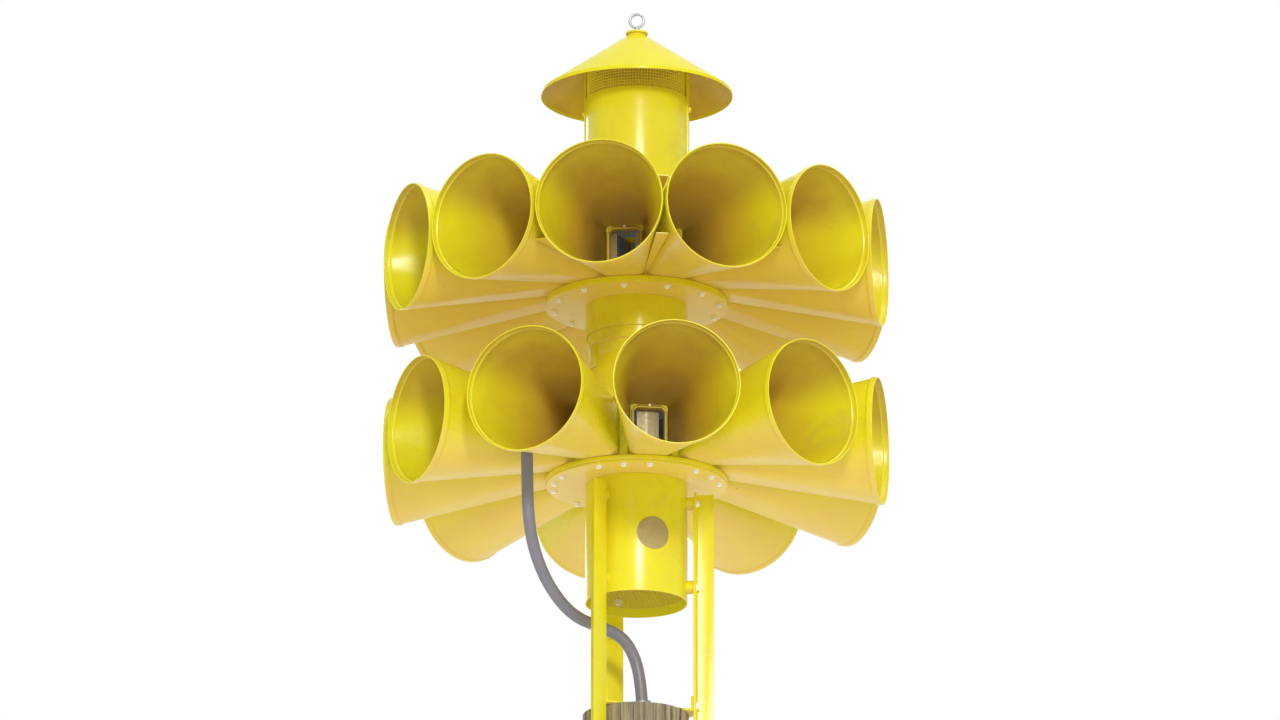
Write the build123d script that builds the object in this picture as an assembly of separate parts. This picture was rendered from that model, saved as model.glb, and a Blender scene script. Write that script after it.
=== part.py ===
from build123d import *
import math
import os

os.makedirs("parts", exist_ok=True)

# Civil defense siren on a round wood pole, in millimetres.
# The origin is on the pole's axis at ground level, +Z is up and -Y is the front.
# An azimuth of 0 points to -Y, and 90 points to +X.

# Pole
POLE_HEIGHT = 13100.0
POLE_TAPER = 70.0

# Siren heads: an upper one with more horns than the lower one
UPPER_HORNS = 12
LOWER_HORNS = 10
HEAD_SPACING = 530.0
HEAD_GAP = 171.0
PLATE_RADIUS = 260.0
PLATE_THICKNESS = 20.0
CLAMP_RING_THICKNESS = 7.0
CLAMP_RING_STEP = 3.0

# Stator drums between the plates
DRUM_APOTHEM = 220.0
DRUM_WALL = 12.0
PORT_WIDTH = 90.0
PORT_HEIGHT = 126.0
PORT_CORNER = 10.0
PORT_LIP = 5.0
PORT_LIP_DEPTH = 8.0
POST_WIDTH = 22.0
POST_DEPTH = 7.0

# Horns
THROAT_WIDTH = 112.0
HORN_PLATE_GAP = 0.3
THROAT_CORNER = 12.0
MOUTH_DISTANCE = 700.0
MOUTH_RADIUS = 182.0
HORN_WALL = 3.0
MOUTH_FLAT_ARC = 12.0

# Air intake ducts, their screens and the rain cap
DUCT_RADIUS = 145.0
DUCT_WALL = 3.0
UPPER_DUCT_LENGTH = 410.5
LOWER_DUCT_LENGTH = 345.5
DUCT_ABOVE_POLE = 329.0
INTAKE_HOLE_RADIUS = 118.0
SCREEN_BAR = 3.0
LOWER_SCREEN_RECESS = 26.0
LOWER_SCREEN_PITCH = 45.0
LOWER_SCREEN_RIM = 9.0
SCREEN_SIDES = 18
UPPER_SCREEN_GAP = 2.0
UPPER_SCREEN_OVERLAP = 8.0
UPPER_SCREEN_HOOPS = 3
CAP_RIM_RADIUS = 274.0
CAP_NECK_RADIUS = 29.0
CAP_RIM_ABOVE_DUCT = 10.0
CAP_LIP_HEIGHT = 10.0
CAP_SLOPE_RISE = 171.0
CAP_WALL = 2.5
COLLAR_RADIUS = 32.0
COLLAR_HEIGHT = 13.0
EYE_RING_RADIUS = 20.0
EYE_WIRE_RADIUS = 4.0
EYE_SHANK_RADIUS = 6.0
EYE_SHANK_LENGTH = 15.0
STRAP_WIDTH = 26.0
STRAP_THICKNESS = 5.0

# Motor between the heads, and its skirts
SKIRT_WALL = 2.5
UPPER_SKIRT_LENGTH = 91.0
LOWER_SKIRT_LENGTH = 86.0
MOTOR_BODY_STEP = 7.0
MOTOR_BELL_SHOW = 33.0
MOTOR_SKIRT_GAP = 1.5

# Turning parts
SHAFT_RADIUS = 19.0
SHAFT_PLATE_GAP = 6.0
SHAFT_MOTOR_GAP = 0.5
ROTOR_SIDE_GAP = 7.0
ROTOR_END_GAP = 7.5
ROTOR_DISC = 5.0
ROTOR_WALL = 7.0
ROTOR_HUB_RADIUS = 42.0
ROTOR_VANE = 4.0
ROTOR_OPEN_SHARE = 0.5
ROTOR_EYE_RADIUS = 112.0

# Stand: three angle-iron legs on stand-off tubes, and the plate on the pole's top
LEG_AZIMUTHS = (-30.0, 90.0, 210.0)
LEG_NAMES = ("leg_front_left", "leg_right", "leg_rear_left")
LEG_WIDTH = 52.0
LEG_THICKNESS = 6.0
LEG_POLE_GAP = 15.0
LEG_TOP_BELOW_PLATE = 26.5
LEG_BELOW_POLE_TOP = 620.0
LEG_CORNER_CUT_WIDE = 15.0
LEG_CORNER_CUT_TALL = 42.0
STANDOFF_RADIUS = 19.0
STANDOFF_LENGTH = 22.0
STANDOFFS_ABOVE_DUCT_END = (42.0, 288.0)
CAP_PLATE_THICKNESS = 6.0
CAP_PLATE_CORNER = 58.0
CAP_PLATE_TAB_HEIGHT = 44.0
POLE_SPACER_WIDTH = 40.0
POLE_SPACER_HEIGHT = 60.0
POLE_SPACER_DEPTHS = (180.0, 490.0)

# Flexible power conduit
CONDUIT_RADIUS = 17.0
GLAND_RADIUS = 23.0
GLAND_NUT_RADIUS = 29.0
GLAND_BODY_LENGTH = 45.0
GLAND_REACH = 59.0
GLAND_ABOVE_PLATE = 64.5
HUB_RADIUS = 26.0
HUB_HEIGHT = 34.0

# Heights and radii worked out from the sizes above
pole_top = POLE_HEIGHT
half_gap = HEAD_GAP / 2
plate_outer = half_gap + PLATE_THICKNESS
lower_duct_bottom = pole_top + DUCT_ABOVE_POLE
lower_duct_top = lower_duct_bottom + LOWER_DUCT_LENGTH
lower_axis = lower_duct_top + plate_outer
upper_axis = lower_axis + HEAD_SPACING
upper_duct_bottom = upper_axis + plate_outer
upper_duct_top = upper_duct_bottom + UPPER_DUCT_LENGTH
cap_rim = upper_duct_top + CAP_RIM_ABOVE_DUCT
cap_slope_start = cap_rim + CAP_LIP_HEIGHT
cap_neck = cap_slope_start + CAP_SLOPE_RISE
cap_slope = CAP_SLOPE_RISE / (CAP_RIM_RADIUS - CAP_NECK_RADIUS)
motor_bottom = lower_axis + plate_outer
motor_top = upper_axis - plate_outer
skirt_inner_radius = DUCT_RADIUS - SKIRT_WALL
motor_bell_radius = skirt_inner_radius - MOTOR_SKIRT_GAP
leg_inner_radius = DUCT_RADIUS + STANDOFF_LENGTH
pole_top_radius = leg_inner_radius - LEG_POLE_GAP
pole_ground_radius = pole_top_radius + POLE_TAPER
share_at_rim = (PLATE_RADIUS - DRUM_APOTHEM) / (MOUTH_DISTANCE - DRUM_APOTHEM)
height_at_rim = HEAD_GAP - 2 * HORN_PLATE_GAP
throat_height = (height_at_rim - share_at_rim * 2 * MOUTH_RADIUS) / (1 - share_at_rim)
rotor_radius = DRUM_APOTHEM - DRUM_WALL - ROTOR_SIDE_GAP
rotor_half_height = half_gap - ROTOR_END_GAP


def turned(shape, azimuth):
    """A shape built with its outward side on -Y, turned to an azimuth about the tower's axis."""
    return shape.rotate(Axis.Z, azimuth)


def lifted(shape, height):
    """A shape moved up by a height."""
    return shape.moved(Location((0, 0, height)))


def disc(radius, bottom, height):
    """A solid round plate on the tower's axis, standing on a level."""
    return lifted(extrude(Circle(radius), height), bottom)


def tube(outer, inner, bottom, height):
    """A tube on the tower's axis, standing on a level."""
    return disc(outer, bottom, height) - disc(inner, bottom, height)


def block(x_size, y_from, y_to, z_from, z_to):
    """A box centred on X, between two distances out from the axis, and between two levels."""
    width, depth, height = x_size, y_to - y_from, z_to - z_from
    centre = (0, -(y_from + y_to) / 2, (z_from + z_to) / 2)
    return Box(width, depth, height).moved(Location(centre))


def save(name, shape):
    """Writes one named piece to its own file."""
    export_step(shape, f"parts/{name}.step")


# Wood pole

def wood_pole():
    """A tapered log with flat ends."""
    profile = Polyline(
        (0, 0),
        (pole_ground_radius, 0),
        (pole_top_radius, pole_top),
        (0, pole_top),
        close=True,
    )
    return revolve(Plane.XZ * make_face(profile), Axis.Z)


def pole_radius(height):
    """The pole's radius at a height above the ground."""
    return pole_ground_radius - POLE_TAPER * height / pole_top


# Horns

def throat_outline(width, height, distance, corner):
    """A rounded rectangle square to the horn's axis, as eight edges."""
    x, z = width / 2, height / 2
    corners = [(-x, -z), (x, -z), (x, z), (-x, z)]
    edges = []
    for i, (cx, cz) in enumerate(corners):
        before = corners[i - 1]
        after = corners[(i + 1) % len(corners)]
        start = toward((cx, cz), before, corner)
        end = toward((cx, cz), after, corner)
        inset = (cx - math.copysign(corner, cx), cz - math.copysign(corner, cz))
        middle = rounded_point(inset, (cx, cz), corner)
        edges.append(ThreePointArc(*on_horn([start, middle, end], distance)))
        leave = toward(after, (cx, cz), corner)
        edges.append(Line(*on_horn([end, leave], distance)))
    return Wire(edges)


def toward(point, other, step):
    """The point a step away from one corner on the way to the next."""
    dx, dz = other[0] - point[0], other[1] - point[1]
    length = math.hypot(dx, dz)
    return (point[0] + dx / length * step, point[1] + dz / length * step)


def rounded_point(centre, corner_point, radius):
    """The middle of a corner's arc."""
    dx, dz = corner_point[0] - centre[0], corner_point[1] - centre[1]
    length = math.hypot(dx, dz)
    return (centre[0] + dx / length * radius, centre[1] + dz / length * radius)


def on_horn(points, distance):
    """Flat (across, up) points set out at a distance along -Y."""
    return [(x, -distance, z) for x, z in points]


def mouth_outline(radius, distance):
    """A circle square to the horn's axis, cut into eight arcs that match the throat's edges."""
    half_flat = MOUTH_FLAT_ARC / 2
    edges = []
    for quarter in range(4):
        middle = -135 + 90 * quarter
        corner_start = middle - 45 + half_flat
        corner_end = middle + 45 - half_flat
        edges.append(mouth_arc(radius, distance, corner_start, corner_end))
        edges.append(mouth_arc(radius, distance, corner_end, corner_end + MOUTH_FLAT_ARC))
    return Wire(edges)


def mouth_arc(radius, distance, start, end):
    """One arc of the mouth's circle, with its angles in degrees."""
    angles = [math.radians(a) for a in (start, (start + end) / 2, end)]
    points = [(radius * math.cos(a), radius * math.sin(a)) for a in angles]
    return ThreePointArc(*on_horn(points, distance))


def horn_form(inset):
    """The horn's filled form from throat to mouth, inset from its outer surface."""
    width, height = THROAT_WIDTH - 2 * inset, throat_height - 2 * inset
    throat = throat_outline(width, height, DRUM_APOTHEM, THROAT_CORNER - inset)
    mouth = mouth_outline(MOUTH_RADIUS - inset, MOUTH_DISTANCE)
    return Solid.make_loft([throat, mouth], ruled=True)


def horn():
    """One horn pointing to -Y, centred on the head's level."""
    return horn_form(0) - horn_form(HORN_WALL)


# Siren heads

def port_outline(margin):
    """A port's opening with its corners cut, or with a margin the outside of its lip."""
    opening = Rectangle(PORT_WIDTH + 2 * margin, PORT_HEIGHT + 2 * margin)
    return chamfer(opening.vertices(), PORT_CORNER)


def stator_drum(count, posts):
    """The drum between the plates: one flat face and one lipped port for each horn."""
    corner_radius = DRUM_APOTHEM / math.cos(math.pi / count)
    outer, inner = [
        RegularPolygon(apothem, count, major_radius=False, rotation=-90 + 180 / count)
        for apothem in (DRUM_APOTHEM, DRUM_APOTHEM - DRUM_WALL)
    ]
    drum = lifted(extrude(outer - inner, HEAD_GAP), -half_gap)
    lip = extrude(Plane.XZ.offset(DRUM_APOTHEM) * port_outline(PORT_LIP), PORT_LIP_DEPTH)
    hole = extrude(Plane.XZ.offset(DRUM_APOTHEM / 2) * port_outline(0), DRUM_APOTHEM)
    spacing = 360 / count
    drum += [turned(lip, spacing * i) for i in range(count)]
    if posts:
        post = block(POST_WIDTH, corner_radius - DRUM_WALL, corner_radius + POST_DEPTH, -half_gap, half_gap)
        drum += [turned(post, spacing * (i + 0.5)) for i in range(count)]
    return drum - [turned(hole, spacing * i) for i in range(count)]


def head_plate(hole_radius, bottom):
    """A round plate that closes one side of a head."""
    return tube(PLATE_RADIUS, hole_radius, bottom, PLATE_THICKNESS)


def rotor(count, closed_side):
    """A chopper rotor: hub, closed disc, open ring, vanes and a ported rim. closed_side is 1 or -1."""
    low = -rotor_half_height
    closed_level = rotor_half_height - ROTOR_DISC if closed_side > 0 else low
    open_level = low if closed_side > 0 else rotor_half_height - ROTOR_DISC
    height = 2 * rotor_half_height
    body = disc(rotor_radius, closed_level, ROTOR_DISC)
    body += tube(rotor_radius, ROTOR_EYE_RADIUS, open_level, ROTOR_DISC)
    body += disc(ROTOR_HUB_RADIUS, low, height)
    spacing = 360 / count
    rim = tube(rotor_radius, rotor_radius - ROTOR_WALL, low, height)
    gap_half = math.radians(spacing * ROTOR_OPEN_SHARE / 2)
    reach = 2 * rotor_radius
    wedge = Polyline(
        (0, 0),
        (reach * math.sin(gap_half), -reach * math.cos(gap_half)),
        (-reach * math.sin(gap_half), -reach * math.cos(gap_half)),
        close=True,
    )
    window = lifted(extrude(make_face(wedge), height - 2 * ROTOR_DISC), low + ROTOR_DISC)
    for i in range(count):
        rim -= turned(window, spacing * i)
    vane = block(ROTOR_VANE, ROTOR_HUB_RADIUS - 2, rotor_radius - ROTOR_WALL / 2, low, low + height)
    body += rim
    body += [turned(vane, spacing * (i + 0.5)) for i in range(count)]
    return body - disc(SHAFT_RADIUS, low, height)


# Ducts, screens and rain cap

def screen_hoop(width, bottom, height):
    """A many-sided hoop whose corners touch the inside of a duct."""
    radius = DUCT_RADIUS - DUCT_WALL
    outline = RegularPolygon(radius, SCREEN_SIDES) - RegularPolygon(radius - width, SCREEN_SIDES)
    return lifted(extrude(outline, height), bottom)


def lower_screen(level):
    """A round frame with square bars both ways, inside the lower duct."""
    radius = DUCT_RADIUS - DUCT_WALL
    clip = lifted(extrude(RegularPolygon(radius - LOWER_SCREEN_RIM / 2, SCREEN_SIDES), SCREEN_BAR), level)
    reach = int(radius // LOWER_SCREEN_PITCH)
    bars = []
    for i in range(-reach, reach + 1):
        bar = Box(SCREEN_BAR, 2 * radius, SCREEN_BAR, align=(Align.CENTER, Align.CENTER, Align.MIN))
        bar = bar.moved(Location((i * LOWER_SCREEN_PITCH, 0, level)))
        bars += [bar, turned(bar, 90)]
    return screen_hoop(LOWER_SCREEN_RIM, level, SCREEN_BAR) + [bar & clip for bar in bars]


def cap_underside(radius):
    """The height of the rain cap's underside at a radius."""
    wall = CAP_WALL * math.hypot(1, cap_slope)
    return cap_slope_start + (CAP_RIM_RADIUS - radius) * cap_slope - wall


def under_cap():
    """The space below the rain cap's slope, down to the upper head's plate."""
    outline = Polyline(
        (0, upper_duct_bottom),
        (CAP_RIM_RADIUS, upper_duct_bottom),
        (CAP_RIM_RADIUS, cap_underside(CAP_RIM_RADIUS)),
        (CAP_NECK_RADIUS, cap_underside(CAP_NECK_RADIUS)),
        (0, cap_underside(CAP_NECK_RADIUS)),
        close=True,
    )
    return revolve(Plane.XZ * make_face(outline), Axis.Z)


def upper_screen():
    """Hoops joined by upright bars, to close the gap under the rain cap."""
    radius = DUCT_RADIUS - DUCT_WALL
    bottom = upper_duct_top - UPPER_SCREEN_OVERLAP
    top = cap_underside(radius) - UPPER_SCREEN_GAP
    step = (top - bottom - SCREEN_BAR) / (UPPER_SCREEN_HOOPS - 1)
    screen = screen_hoop(SCREEN_BAR, bottom, SCREEN_BAR)
    screen += [screen_hoop(SCREEN_BAR, bottom + step * i, SCREEN_BAR) for i in range(1, UPPER_SCREEN_HOOPS)]
    flat = (radius - SCREEN_BAR) * math.cos(math.pi / SCREEN_SIDES)
    bar = block(SCREEN_BAR, flat, flat + SCREEN_BAR / 2, bottom, top)
    spacing = 360 / SCREEN_SIDES
    return screen + [turned(bar, spacing * i) for i in range(SCREEN_SIDES)]


def rain_cap():
    """A cone of sheet metal with a short upright lip and a solid collar, open underneath."""
    wall = CAP_WALL * math.hypot(1, cap_slope)
    outline = Polyline(
        (CAP_RIM_RADIUS, cap_rim),
        (CAP_RIM_RADIUS, cap_slope_start),
        (CAP_NECK_RADIUS, cap_neck),
        (COLLAR_RADIUS, cap_neck),
        (COLLAR_RADIUS, cap_neck + COLLAR_HEIGHT),
        (EYE_SHANK_RADIUS, cap_neck + COLLAR_HEIGHT),
        (EYE_SHANK_RADIUS, cap_neck - wall),
        (CAP_NECK_RADIUS, cap_neck - wall),
        (CAP_RIM_RADIUS - CAP_WALL, cap_slope_start - wall + CAP_WALL * cap_slope),
        (CAP_RIM_RADIUS - CAP_WALL, cap_rim),
        close=True,
    )
    return revolve(Plane.XZ * make_face(outline), Axis.Z)


def lifting_eye():
    """A ring on a threaded shank, standing across the tower's front."""
    centre = cap_neck + COLLAR_HEIGHT + EYE_SHANK_LENGTH + EYE_RING_RADIUS
    ring = lifted(Torus(EYE_RING_RADIUS, EYE_WIRE_RADIUS).rotate(Axis.X, 90), centre)
    shank_bottom = cap_neck - 2 * CAP_WALL
    shank = disc(EYE_SHANK_RADIUS, shank_bottom, centre - EYE_RING_RADIUS - shank_bottom)
    return ring + shank


def cap_strap():
    """A flat bar up the duct's side that carries the rain cap."""
    inner, outer = DUCT_RADIUS, DUCT_RADIUS + STRAP_THICKNESS
    bar = block(STRAP_WIDTH, inner - STRAP_THICKNESS, outer, upper_duct_bottom, cap_neck)
    return bar & under_cap() - disc(inner, upper_duct_bottom, cap_neck - upper_duct_bottom)


# Motor

def motor_housing():
    """The closed motor: a body with a bell at each end, and a bore for the shaft."""
    bell, body = motor_bell_radius, motor_bell_radius - MOTOR_BODY_STEP
    bore = SHAFT_RADIUS + SHAFT_MOTOR_GAP
    low_bell = motor_bottom + LOWER_SKIRT_LENGTH + MOTOR_BELL_SHOW
    high_bell = motor_top - UPPER_SKIRT_LENGTH - MOTOR_BELL_SHOW
    outline = Polyline(
        (bore, motor_bottom),
        (bell, motor_bottom),
        (bell, low_bell),
        (body, low_bell),
        (body, high_bell),
        (bell, high_bell),
        (bell, motor_top),
        (bore, motor_top),
        close=True,
    )
    return revolve(Plane.XZ * make_face(outline), Axis.Z)


def skirt(bottom, height):
    """A tube round one end of the motor."""
    return tube(DUCT_RADIUS, skirt_inner_radius, bottom, height)


# Stand

def leg():
    """An angle iron: one side across the tower, one side out from it."""
    bottom = pole_top - LEG_BELOW_POLE_TOP
    top = lower_duct_top - LEG_TOP_BELOW_PLATE
    inner, outer = leg_inner_radius, leg_inner_radius + LEG_WIDTH
    across = block(LEG_WIDTH, inner, inner + LEG_THICKNESS, bottom, top)
    out = block(LEG_THICKNESS, inner, outer, bottom, top)
    shape = across + out.moved(Location(((LEG_WIDTH - LEG_THICKNESS) / 2, 0, 0)))
    cut = Polyline(
        (-LEG_WIDTH / 2, top),
        (-LEG_WIDTH / 2 + LEG_CORNER_CUT_WIDE, top),
        (-LEG_WIDTH / 2, top - LEG_CORNER_CUT_TALL),
        close=True,
    )
    return shape - extrude(Plane.XZ.offset(inner) * make_face(cut), LEG_THICKNESS)


def standoff(height):
    """A rod between the lower duct and a leg, at a height above the duct's lower end."""
    level = lower_duct_bottom + height
    start = Plane.XZ.offset(DUCT_RADIUS - DUCT_WALL)
    rod = extrude(start * Circle(STANDOFF_RADIUS), DUCT_WALL + STANDOFF_LENGTH)
    return lifted(rod, level) - disc(DUCT_RADIUS, level - LEG_WIDTH, 2 * LEG_WIDTH)


def pole_spacer(depth):
    """A packing block between the pole and a leg."""
    top = pole_top - depth
    bottom = top - POLE_SPACER_HEIGHT
    packing = block(POLE_SPACER_WIDTH, pole_radius(bottom) / 2, leg_inner_radius, bottom, top)
    return packing - wood_pole()


def cap_plate():
    """The three-cornered plate on the pole's top, with a tab turned up behind each leg."""
    points = []
    for azimuth in LEG_AZIMUTHS:
        for side in (-1, 1):
            angle = math.radians(azimuth)
            x = leg_inner_radius * math.sin(angle) + side * CAP_PLATE_CORNER / 2 * math.cos(angle)
            y = -leg_inner_radius * math.cos(angle) + side * CAP_PLATE_CORNER / 2 * math.sin(angle)
            points.append((x, y))
    plate = lifted(extrude(make_face(Polyline(*points, close=True)), CAP_PLATE_THICKNESS), pole_top)
    tab = block(
        CAP_PLATE_CORNER,
        leg_inner_radius - CAP_PLATE_THICKNESS,
        leg_inner_radius,
        pole_top,
        pole_top + CAP_PLATE_TAB_HEIGHT,
    )
    return plate + [turned(tab, azimuth) for azimuth in LEG_AZIMUTHS]


# Power conduit

def above_pole(x, y, height):
    """A point at a height above the pole's top."""
    return (x, y, pole_top + height)


def beyond_gland(out, y, rise):
    """A point beside the motor, out from the gland's end and up from its level."""
    return (-DUCT_RADIUS - GLAND_REACH - out, y, motor_bottom + GLAND_ABOVE_PLATE + rise)


CONDUIT_ROUTE = [
    beyond_gland(0, -21, 0),
    beyond_gland(58, -52, 5),
    beyond_gland(108, -100, 15),
    beyond_gland(132, -168, 17),
    beyond_gland(124, -240, 5),
    beyond_gland(91, -310, -25),
    beyond_gland(58, -358, -100),
    above_pole(-258, -363, 740),
    above_pole(-257, -355, 625),
    above_pole(-258, -336, 512),
    above_pole(-247, -300, 412),
    above_pole(-212, -240, 318),
    above_pole(-157, -146, 256),
    above_pole(-84, -78, 241),
    above_pole(-34, -40, 222),
    above_pole(-4, -13, 175),
    above_pole(12, -1, 105),
    above_pole(16, 2, CAP_PLATE_THICKNESS + HUB_HEIGHT),
]


def route_radii(points):
    """The bend radius at each inner point of the route."""
    vectors = [Vector(*p) for p in points]
    runs = [b - a for a, b in zip(vectors, vectors[1:])]
    radii = []
    for one, two in zip(runs, runs[1:]):
        turn = math.radians(one.get_angle(two))
        radii.append(0.45 * min(one.length, two.length) / math.tan(turn / 2))
    return radii


def conduit():
    """The conduit: straight runs joined by arcs, swept with its round section."""
    radii = route_radii(CONDUIT_ROUTE)
    path = FilletPolyline(*CONDUIT_ROUTE, radius=radii)
    start = Plane(path @ 0, z_dir=path % 0)
    solid = sweep(start * Circle(CONDUIT_RADIUS), path=path)
    expected = math.pi * CONDUIT_RADIUS**2 * path.length
    print("conduit radii", [round(r) for r in radii], "length", round(path.length))
    print("conduit volume over section times length", round(solid.volume / expected, 4))
    return solid


def conduit_gland():
    """The connector on the motor's lower skirt that the conduit leaves."""
    end = Vector(*CONDUIT_ROUTE[0])
    direction = (Vector(*CONDUIT_ROUTE[1]) - end).normalized()
    body_plane = Plane(end - direction * 2 * GLAND_BODY_LENGTH, z_dir=direction)
    body = extrude(body_plane * Circle(GLAND_RADIUS), 2 * GLAND_BODY_LENGTH)
    nut_plane = Plane(end - direction * GLAND_BODY_LENGTH / 2, z_dir=direction)
    nut = extrude(nut_plane * RegularPolygon(GLAND_NUT_RADIUS, 6), GLAND_BODY_LENGTH / 3)
    return body + nut - disc(DUCT_RADIUS, motor_bottom, motor_top - motor_bottom)


def conduit_hub():
    """The connector on the pole's plate that the conduit enters."""
    x, y, top = CONDUIT_ROUTE[-1]
    bottom = pole_top + CAP_PLATE_THICKNESS
    direction = (Vector(*CONDUIT_ROUTE[-1]) - Vector(*CONDUIT_ROUTE[-2])).normalized()
    plane = Plane((x, y, top), z_dir=direction)
    body = extrude(plane * Circle(HUB_RADIUS), 2 * HUB_HEIGHT)
    level = Box(4 * HUB_RADIUS, 4 * HUB_RADIUS, 4 * HUB_HEIGHT, align=(Align.CENTER, Align.CENTER, Align.MAX))
    return body - level.moved(Location((x, y, bottom)))


# Write every piece

save("wood_pole", wood_pole())
save("pole_cap_plate", cap_plate())
for name, azimuth in zip(LEG_NAMES, LEG_AZIMUTHS):
    save(name, turned(leg(), azimuth))
standoffs = [turned(standoff(h), a) for a in LEG_AZIMUTHS for h in STANDOFFS_ABOVE_DUCT_END]
save("leg_standoffs", Compound(children=standoffs))
spacers = [turned(pole_spacer(d), a) for a in LEG_AZIMUTHS for d in POLE_SPACER_DEPTHS]
save("leg_pole_spacers", Compound(children=spacers))

save("lower_duct", tube(DUCT_RADIUS, DUCT_RADIUS - DUCT_WALL, lower_duct_bottom, LOWER_DUCT_LENGTH))
save("lower_intake_screen", lower_screen(lower_duct_bottom + LOWER_SCREEN_RECESS))
upper_part = PLATE_THICKNESS - CLAMP_RING_THICKNESS
lower_plate = disc(PLATE_RADIUS, lower_axis - half_gap - upper_part, upper_part)
save("lower_bottom_plate", lower_plate - disc(INTAKE_HOLE_RADIUS, lower_axis - plate_outer, PLATE_THICKNESS))
clamp_ring = disc(PLATE_RADIUS - CLAMP_RING_STEP, lower_duct_top, CLAMP_RING_THICKNESS)
save("lower_clamp_ring", clamp_ring - disc(INTAKE_HOLE_RADIUS, lower_duct_top, CLAMP_RING_THICKNESS))
save("lower_stator_drum", lifted(turned(stator_drum(LOWER_HORNS, True), 180 / LOWER_HORNS), lower_axis))
shaft_hole = SHAFT_RADIUS + SHAFT_PLATE_GAP
save("lower_top_plate", head_plate(shaft_hole, lower_axis + half_gap))
save("upper_bottom_plate", head_plate(shaft_hole, upper_axis - plate_outer))
save("upper_stator_drum", lifted(stator_drum(UPPER_HORNS, False), upper_axis))
save("upper_top_plate", head_plate(INTAKE_HOLE_RADIUS, upper_axis + half_gap))
save("upper_duct", tube(DUCT_RADIUS, DUCT_RADIUS - DUCT_WALL, upper_duct_bottom, UPPER_DUCT_LENGTH))
save("upper_intake_screen", upper_screen())
save("cap_strap_left", turned(cap_strap(), -90))
save("cap_strap_right", turned(cap_strap(), 90))
save("rain_cap", rain_cap())
save("lifting_eye", lifting_eye())

save("motor_housing", motor_housing())
save("motor_lower_skirt", skirt(motor_bottom, LOWER_SKIRT_LENGTH))
save("motor_upper_skirt", skirt(motor_top - UPPER_SKIRT_LENGTH, UPPER_SKIRT_LENGTH))

upper_horns = [lifted(turned(horn(), 360 / UPPER_HORNS * i), upper_axis) for i in range(UPPER_HORNS)]
save("upper_horns", Compound(children=upper_horns))
lower_horns = [lifted(turned(horn(), 360 / LOWER_HORNS * (i + 0.5)), lower_axis) for i in range(LOWER_HORNS)]
save("lower_horns", Compound(children=lower_horns))

shaft_bottom = lower_axis - rotor_half_height
shaft_length = HEAD_SPACING + 2 * rotor_half_height
save("rotor_shaft", disc(SHAFT_RADIUS, shaft_bottom, shaft_length))
save("upper_rotor", lifted(rotor(UPPER_HORNS, -1), upper_axis))
save("lower_rotor", lifted(rotor(LOWER_HORNS, 1), lower_axis))

save("power_conduit", conduit())
save("conduit_gland", conduit_gland())
save("conduit_hub", conduit_hub())
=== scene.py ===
# %% [markdown]
# # A warning siren on its wood pole
#
# The object is an outdoor warning siren with two heads of horns, one above the
# other, a motor between them, and a stand of three angle irons on a wood pole.
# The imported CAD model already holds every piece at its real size. This lesson
# dresses it: the paint, the wood, the rolled rims, the fine mesh and the bolts.
# All lengths below are in millimetres unless a line says otherwise, because
# that is how a sheet-metal shop would write them, and MM turns them to metres.

import math

import bmesh
import bpy
from mathutils import Matrix, Vector, noise


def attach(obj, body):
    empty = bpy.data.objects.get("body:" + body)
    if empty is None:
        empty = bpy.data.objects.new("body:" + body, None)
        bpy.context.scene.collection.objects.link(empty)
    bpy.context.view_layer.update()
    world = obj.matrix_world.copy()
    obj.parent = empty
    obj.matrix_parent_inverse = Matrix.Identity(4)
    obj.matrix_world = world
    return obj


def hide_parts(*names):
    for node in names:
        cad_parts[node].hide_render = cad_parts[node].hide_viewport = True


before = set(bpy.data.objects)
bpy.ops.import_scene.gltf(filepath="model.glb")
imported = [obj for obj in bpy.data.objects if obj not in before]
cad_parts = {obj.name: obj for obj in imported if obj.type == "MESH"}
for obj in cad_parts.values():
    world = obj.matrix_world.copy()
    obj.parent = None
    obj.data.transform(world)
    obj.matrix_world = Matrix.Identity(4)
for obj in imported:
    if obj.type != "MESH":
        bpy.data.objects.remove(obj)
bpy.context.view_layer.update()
MM = 0.001

# %% [markdown]
# ## The camera
#
# The photograph was taken from the ground, far away, with a long lens: the
# pole's sides stay almost parallel. A camera could be placed by eye and nudged,
# but here its place was worked out from the circles of the horns' mouths, so
# the numbers go in as they are. The camera stands close to the ground and
# looks up by about 17 degrees.

# %% Put the camera where the photographer stood
LENS_MM, SENSOR_MM = 461.616, 36.0
SIGHT_METRES = 400.0
CAMERA_PLACE_METRES = (6.7768, -44.1737, 0.6001)
CAMERA_TURN_DEGREES = (106.8684, -0.0403, 8.697)

camera_data = bpy.data.cameras.new("photo_camera")
camera_data.lens = LENS_MM
camera_data.sensor_width = SENSOR_MM
camera_data.clip_end = SIGHT_METRES
camera = bpy.data.objects.new("photo_camera", camera_data)
camera.location = CAMERA_PLACE_METRES
camera.rotation_euler = [math.radians(a) for a in CAMERA_TURN_DEGREES]
bpy.context.scene.collection.objects.link(camera)
bpy.context.scene.camera = camera
print("camera", tuple(camera.location), "lens", camera_data.lens)

# %% [markdown]
# ## The conduit's run
#
# Power reaches the motor through a bendy conduit: a hose with a smooth grey
# jacket. It leaves a connector on the motor's lower skirt, runs out over the
# lower horns, falls between two of them, swings inside the stand and ends in a
# hub on the pole's top. A hose could be a mesh tube, but a smooth curve with a
# round bevel is lighter and bends as a hose does. The points are the corners of
# the CAD route, each as (x, y, height above the pole's top), and the curve's
# order of 3 makes it cut gently inside each corner.

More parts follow.
